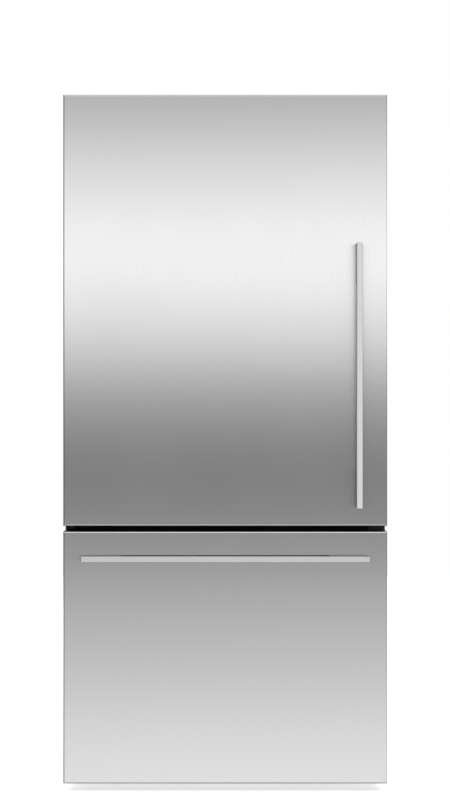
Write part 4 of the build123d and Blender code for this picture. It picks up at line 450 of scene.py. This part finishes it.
for finish, names in finishes:
    for name in names.split():
        nodes[name].data.materials.clear()
        nodes[name].data.materials.append(finish)
        dressed.add(name)
print("dressed", len(dressed), "left bare:", sorted(set(nodes) - dressed))

# %% [markdown]
# A few small pieces are built here as meshes. Each maker fills an empty bmesh, and one
# helper turns that into an object, gives it its finish and sets it on the body it rides
# on. The other helper makes a prism from an outline that faces the front, which is all
# that a window and its numbers need.

# %% Helpers for small built pieces


def piece_from(mesh_maker, name, finish, body):
    """A new piece from a filled bmesh, riding on a body."""
    mesh = bpy.data.meshes.new(name)
    built = bmesh.new()
    mesh_maker(built)
    built.normal_update()
    built.to_mesh(mesh)
    built.free()
    piece = bpy.data.objects.new(name, mesh)
    bpy.context.scene.collection.objects.link(piece)
    mesh.materials.append(finish)
    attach(piece, body)
    print(name, "faces", len(mesh.polygons))
    return piece


def prism(built, outline, y, thick):
    """A solid with its outline in X and Z, from y back by thick."""
    front = [built.verts.new((x, y, z)) for x, z in outline]
    back = [built.verts.new((x, y + thick, z)) for x, z in outline]
    built.faces.new(front)
    built.faces.new(back[::-1])
    for i in range(len(outline)):
        j = (i + 1) % len(outline)
        built.faces.new((front[j], front[i], back[i], back[j]))


panel_low, panel_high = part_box("control_panel")
panel_front = panel_low[1]
FIT = 0.3 * MM  # the room left round a piece in its pocket
print("control panel from", panel_low, "to", panel_high)

# %% [markdown]
# The display is a strip of smoked acrylic that fills the pocket in the front of the
# control panel. It could be a plain box, but a moulded window has round corners and a soft
# front edge that catch the light. So its outline is a rectangle with an arc at each corner,
# and a small bevel runs round the front. Smoked acrylic is nearly black and glossy.

# %% Display window
POCKET_X = (-110 * MM, 16 * MM)
POCKET_EDGE = 5 * MM  # from the pocket to the panel's lower and upper edge
CORNER, WINDOW_SINK, WINDOW_THICK, WINDOW_BEVEL = 2 * MM, 0.2 * MM, 1.2 * MM, 0.3 * MM
window_x = (POCKET_X[0] + FIT, POCKET_X[1] - FIT)
window_z = (panel_low[2] + POCKET_EDGE + FIT, panel_high[2] - POCKET_EDGE - FIT)


def rounded_outline(x, z, radius, steps=6):
    """Corners of a rectangle with round corners, anticlockwise seen from the front."""
    points = []
    centres = [(x[1] - radius, z[0] + radius), (x[1] - radius, z[1] - radius)]
    centres += [(x[0] + radius, z[1] - radius), (x[0] + radius, z[0] + radius)]
    for quarter, (cx, cz) in enumerate(centres):
        for i in range(steps + 1):
            turn = pi / 2 * (quarter - 1 + i / steps)
            points.append((cx + radius * cos(turn), cz + radius * sin(turn)))
    return points


def window_mesh(built):
    """Plate in the pocket, with a softened front edge."""
    face = panel_front + WINDOW_SINK
    prism(built, rounded_outline(window_x, window_z, CORNER), face, WINDOW_THICK)
    rim = [e for e in built.edges if all(v.co.y < face + WINDOW_BEVEL for v in e.verts)]
    bmesh.ops.bevel(built, geom=rim, offset=WINDOW_BEVEL, segments=2, affect="EDGES")


piece_from(window_mesh, "display_window", smoke, "cabinet")

# %% [markdown]
# Small seven-segment numbers glow on the window, one for each compartment's temperature in
# degrees: 3 for the fridge and -18 for the freezer. The segments are LEDs under a fine
# diffuser, so the light is a plain emission that a pattern of 1.2 mm breaks up. Each segment
# is a thin hexagonal bar, as on a real display. A table gives each segment's place from the
# middle, counted in half segment lengths, and whether it stands upright.

# %% Numbers of the display
DIGIT_HEIGHT = 6 * MM
FRIDGE_AT, FREEZER_AT = 28 * MM, 78 * MM  # from the window's left end
DIGIT_SINK, DIGIT_THICK = 0.12 * MM, 0.1 * MM
LETTERS = {"3": "abcdg", "-": "g", "1": "bc", "8": "abcdefg"}
PLACES = {
    "a": ((0, 2), False),
    "b": ((1, 1), True),
    "c": ((1, -1), True),
    "d": ((0, -2), False),
    "e": ((-1, -1), True),
    "f": ((-1, 1), True),
    "g": ((0, 0), False),
}


def glowing(name, hex_value, strength):
    """Diffused light from LEDs, slightly uneven."""
    material, tree, where = start(name)
    grain = marks(tree, where, 1.2)
    inputs = {
        "Base Color": linear(hex_value),
        "Emission Color": shades(tree, grain, hex_value, "#FFFFFF"),
        "Emission Strength": strength,
        "Roughness": 0.4,
    }
    close(tree, add(tree, "BsdfPrincipled", inputs))
    return material


def segment_outline(half, thick, upright):
    """A hexagon along one segment, round the origin."""
    reach = half - 0.3 * thick
    bar = [(-reach, 0), (-reach + thick, -thick), (reach - thick, -thick)]
    bar += [(reach, 0), (reach - thick, thick), (-reach + thick, thick)]
    return [(-b, a) for a, b in bar] if upright else bar


def digit_mesh(built, text, x, z):
    """Seven-segment characters in a row, the first with its middle at x and z."""
    half, thick = DIGIT_HEIGHT / 4, DIGIT_HEIGHT / 16
    for index, letter in enumerate(text):
        middle = x + index * DIGIT_HEIGHT * 0.8
        for segment in LETTERS[letter]:
            (across, up), upright = PLACES[segment]
            bar = segment_outline(half, thick, upright)
            outline = [(middle + across * half + a, z + up * half + b) for a, b in bar]
            prism(built, outline, panel_front + DIGIT_SINK, DIGIT_THICK)


def numbers_mesh(built):
    """3 for the fridge, -18 for the freezer."""
    digit_mesh(built, "3", window_x[0] + FRIDGE_AT, sum(window_z) / 2)
    digit_mesh(built, "-18", window_x[0] + FREEZER_AT, sum(window_z) / 2)


led_white = glowing("white_led_segments", "#BFE6FF", 1.6)
piece_from(numbers_mesh, "display_numbers", led_white, "cabinet")

# %% [markdown]
# The lamp lens is a frosted polycarbonate cover with fine ribs that spread the light of the
# LEDs above it. Its underside is a row of shallow waves: a strip of quads whose height
# follows a cosine, closed above by a flat top and walls, so it is one closed solid. The
# lamp is lit, as it is whenever the door is open.

# %% Ribbed lamp lens
LAMP_SIDE, LAMP_FRONT, LAMP_REAR = 25 * MM, 45 * MM, 12 * MM  # pocket to panel edge
LENS_FOOT, LENS_HEAD, RIB_DEPTH = 0.8 * MM, 5.5 * MM, 0.5 * MM
RIBS, RIB_STEPS = 25, 8


def lens_mesh(built):
    """A slab with a ribbed underside in the panel's lamp pocket."""
    x0, x1 = panel_low[0] + LAMP_SIDE + FIT, panel_high[0] - LAMP_SIDE - FIT
    y0, y1 = panel_low[1] + LAMP_FRONT + FIT, panel_high[1] - LAMP_REAR - FIT
    foot, head = panel_low[2] + LENS_FOOT, panel_low[2] + LENS_HEAD
    count = RIBS * RIB_STEPS
    xs = [x0 + (x1 - x0) * i / count for i in range(count + 1)]
    zs = [foot + RIB_DEPTH * (1 - cos(2 * pi * i / RIB_STEPS)) / 2 for i in range(count + 1)]
    under = [[built.verts.new((x, y, z)) for x, z in zip(xs, zs)] for y in (y0, y1)]
    over = [[built.verts.new((x, y, head)) for x in xs] for y in (y0, y1)]
    for i in range(count):
        built.faces.new((under[0][i], under[1][i], under[1][i + 1], under[0][i + 1]))
        built.faces.new((over[0][i], over[0][i + 1], over[1][i + 1], over[1][i]))
        built.faces.new((under[0][i], under[0][i + 1], over[0][i + 1], over[0][i]))
        built.faces.new((under[1][i + 1], under[1][i], over[1][i], over[1][i + 1]))
    for i in (0, count):
        corner = (under[0][i], under[1][i], over[1][i], over[0][i])
        built.faces.new(corner if i else corner[::-1])
    bmesh.ops.recalc_face_normals(built, faces=built.faces)


frost = glowing("frosted_polycarbonate_lit", "#F4F7FA", 5.0)
piece_from(lens_mesh, "lamp_lens", frost, "cabinet")

# %% [markdown]
# The floor is plain and pale. The camera sees it nearly white, so that it meets the white
# backdrop without an edge and still holds the object's soft shadow; a little light of its
# own, for camera rays only, lifts it. Mirror rays pass through it, so that the steel shows
# the same studio from every side.

# %% Floor
FLOOR_SIZE, FLOOR_CELLS, FLOOR_DROP = 14.0, 8, 0.5 * MM
bpy.ops.mesh.primitive_grid_add(
    x_subdivisions=FLOOR_CELLS,
    y_subdivisions=FLOOR_CELLS,
    size=FLOOR_SIZE,
    location=(0, 0, -FLOOR_DROP),
)
floor = bpy.context.object
floor.name = "studio_floor"
floor_finish, tree, where = start("pale_studio_floor")
floor_colour = shades(tree, marks(tree, where, 4.0), "#EDEDED", "#E9E9E9")
inputs = {"Base Color": floor_colour, "Roughness": 0.8, "Specular IOR Level": 0.1}
matt = add(tree, "BsdfPrincipled", inputs).outputs[0]
lift = add(tree, "Emission", {"Color": linear("#FFFFFF"), "Strength": 0.68}).outputs[0]
lifted = add(tree, "AddShader", {0: matt, 1: lift}).outputs[0]
rays = add(tree, "LightPath").outputs
plain = add(tree, "MixShader", {0: rays["Is Camera Ray"], 1: matt, 2: lifted}).outputs[0]
through = add(tree, "BsdfTransparent").outputs[0]
close(tree, add(tree, "MixShader", {0: rays["Is Glossy Ray"], 1: plain, 2: through}))
floor.data.materials.append(floor_finish)
print("floor", FLOOR_SIZE, "m wide")

# %% [markdown]
# The studio round the object is the world's light. What the camera sees of it is plain
# white. What the steel mirrors is a tall, banded studio: a bright strip of wall a little
# above the lens, a dark strip just under it, and a floor that is bright in front and dark
# straight below. These bands give the fronts their soft rise and fall from top to bottom.
# From left to right the light is even but for the far left, which is nearly dark, and the
# far right, which is dimmer; they shade the narrow side faces. Matt surfaces get an even,
# plain fill.
#
# Two ramps hold these lights. The first follows the height of a direction, which is the
# sine of its angle above the horizon, and the second its way from left to right.

# %% Studio light
STUDIO, FILL = 1.74, 0.62
# degrees above the horizon, and light from 0 to 1
BANDS = [
    (-90, 0.03), (-64, 0.06), (-46, 0.45), (-30, 0.62), (-18, 0.66), (-12, 0.72), (-9, 0.73),
    (-5, 0.42), (-3, 0.21), (-1.6, 0.125), (0, 0.25), (1.6, 0.70), (3.4, 0.97), (5.2, 0.68),
    (7.2, 0.35), (10, 0.26), (14, 0.42), (20, 0.85), (36, 0.95), (55, 0.4), (90, 0.25),
]
# place from far left, 0, to far right, 1, and light from 0 to 1
SIDES = [(0, 0.03), (0.1, 0.06), (0.24, 0.9), (0.5, 0.9), (0.8, 1.0), (0.92, 0.8), (1, 0.35)]


def fill_ramp(node, stops):
    """Sets a colour ramp's stops from pairs of place and light."""
    ramp = node.color_ramp
    while len(ramp.elements) > 1:
        ramp.elements.remove(ramp.elements[-1])
    for index, (place, light) in enumerate(stops):
        stop = ramp.elements[0] if index == 0 else ramp.elements.new(place)
        stop.position = place
        stop.color = (light, light, light, 1)


world = bpy.data.worlds.new("studio")
bpy.context.scene.world = world
world.use_nodes = True
tree = world.node_tree
tree.nodes.clear()
direction = add(tree, "TexCoord").outputs["Generated"]
axes = add(tree, "SeparateXYZ", {0: direction}).outputs
level, sideways = [
    add(tree, "MapRange", {"Value": axes[i], "From Min": -1}).outputs[0] for i in (2, 0)
]
bands = add(tree, "ValToRGB", {"Fac": level})
bands.color_ramp.interpolation = "EASE"
fill_ramp(bands, [((sin(radians(angle)) + 1) / 2, light) for angle, light in BANDS])
sides = add(tree, "ValToRGB", {"Fac": sideways})
fill_ramp(sides, SIDES)
inputs = {0: 1.0, 6: bands.outputs[0], 7: sides.outputs[0]}
mirrored = add(tree, "Mix", inputs, data_type="RGBA", blend_type="MULTIPLY").outputs[2]
shiny = add(tree, "Background", {"Color": mirrored, "Strength": STUDIO}).outputs[0]
even = add(tree, "Background", {"Color": linear("#FFFFFF"), "Strength": FILL}).outputs[0]
white = add(tree, "Background", {"Color": linear("#FFFFFF"), "Strength": 1.0}).outputs[0]
rays = add(tree, "LightPath").outputs
lit = add(tree, "MixShader", {0: rays["Is Glossy Ray"], 1: even, 2: shiny}).outputs[0]
inputs = {0: rays["Is Camera Ray"], 1: rays["Is Transmission Ray"]}
seen = add(tree, "Math", inputs, operation="MAXIMUM").outputs[0]
backdrop = add(tree, "MixShader", {0: seen, 1: lit, 2: white})
add(tree, "OutputWorld", {"Surface": backdrop.outputs[0]})
print("studio of", len(BANDS), "bands")

# %% [markdown]
# Three soft boxes give the light a direction and round the shapes off: the key from the
# front right, a weak one from the left, and one behind for the back and the sides. Mirror
# rays don't see them, because they would draw square patches on the steel.

# %% Soft boxes
MIDDLE = Vector((0, 0, 0.85))


def soft_box(name, place, size, watts):
    """A square area lamp that points at the object's middle."""
    lamp = bpy.data.lights.new(name, "AREA")
    lamp.size, lamp.energy = size, watts
    holder = bpy.data.objects.new(name, lamp)
    holder.location = place
    holder.rotation_euler = (MIDDLE - Vector(place)).to_track_quat("-Z", "Y").to_euler()
    holder.visible_glossy = False
    bpy.context.scene.collection.objects.link(holder)
    print(name, watts, "W")


soft_box("key_box", (2.6, -4.2, 3.4), 2.0, 110)
soft_box("left_box", (-3.4, -3.6, 2.2), 2.4, 20)
soft_box("rear_box", (-1.5, 4.6, 3.2), 2.4, 90)

# %% [markdown]
# The camera stands six metres in front of the door at the picture's mid height, level and
# unturned, with a long lens, so that upright lines stay upright. The lens is worked out
# from the picture's height at the door: 1.95 m on a sensor 36 mm tall.

# %% Camera
DISTANCE, ASIDE, EYE, PICTURE = 6.0, -0.0006, 0.9554, 1.9504
door_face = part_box("door_skin")[0][1]
camera = bpy.data.cameras.new("front_view")
camera.sensor_fit = "VERTICAL"
camera.sensor_height = 36.0
camera.lens = camera.sensor_height * DISTANCE / PICTURE
viewer = bpy.data.objects.new("front_view", camera)
viewer.location = (ASIDE, door_face - DISTANCE, EYE)
viewer.rotation_euler = (radians(90), 0, 0)
scene = bpy.context.scene
scene.collection.objects.link(viewer)
scene.camera = viewer
scene.view_settings.view_transform = "Standard"
print("lens", round(camera.lens, 2), "mm")
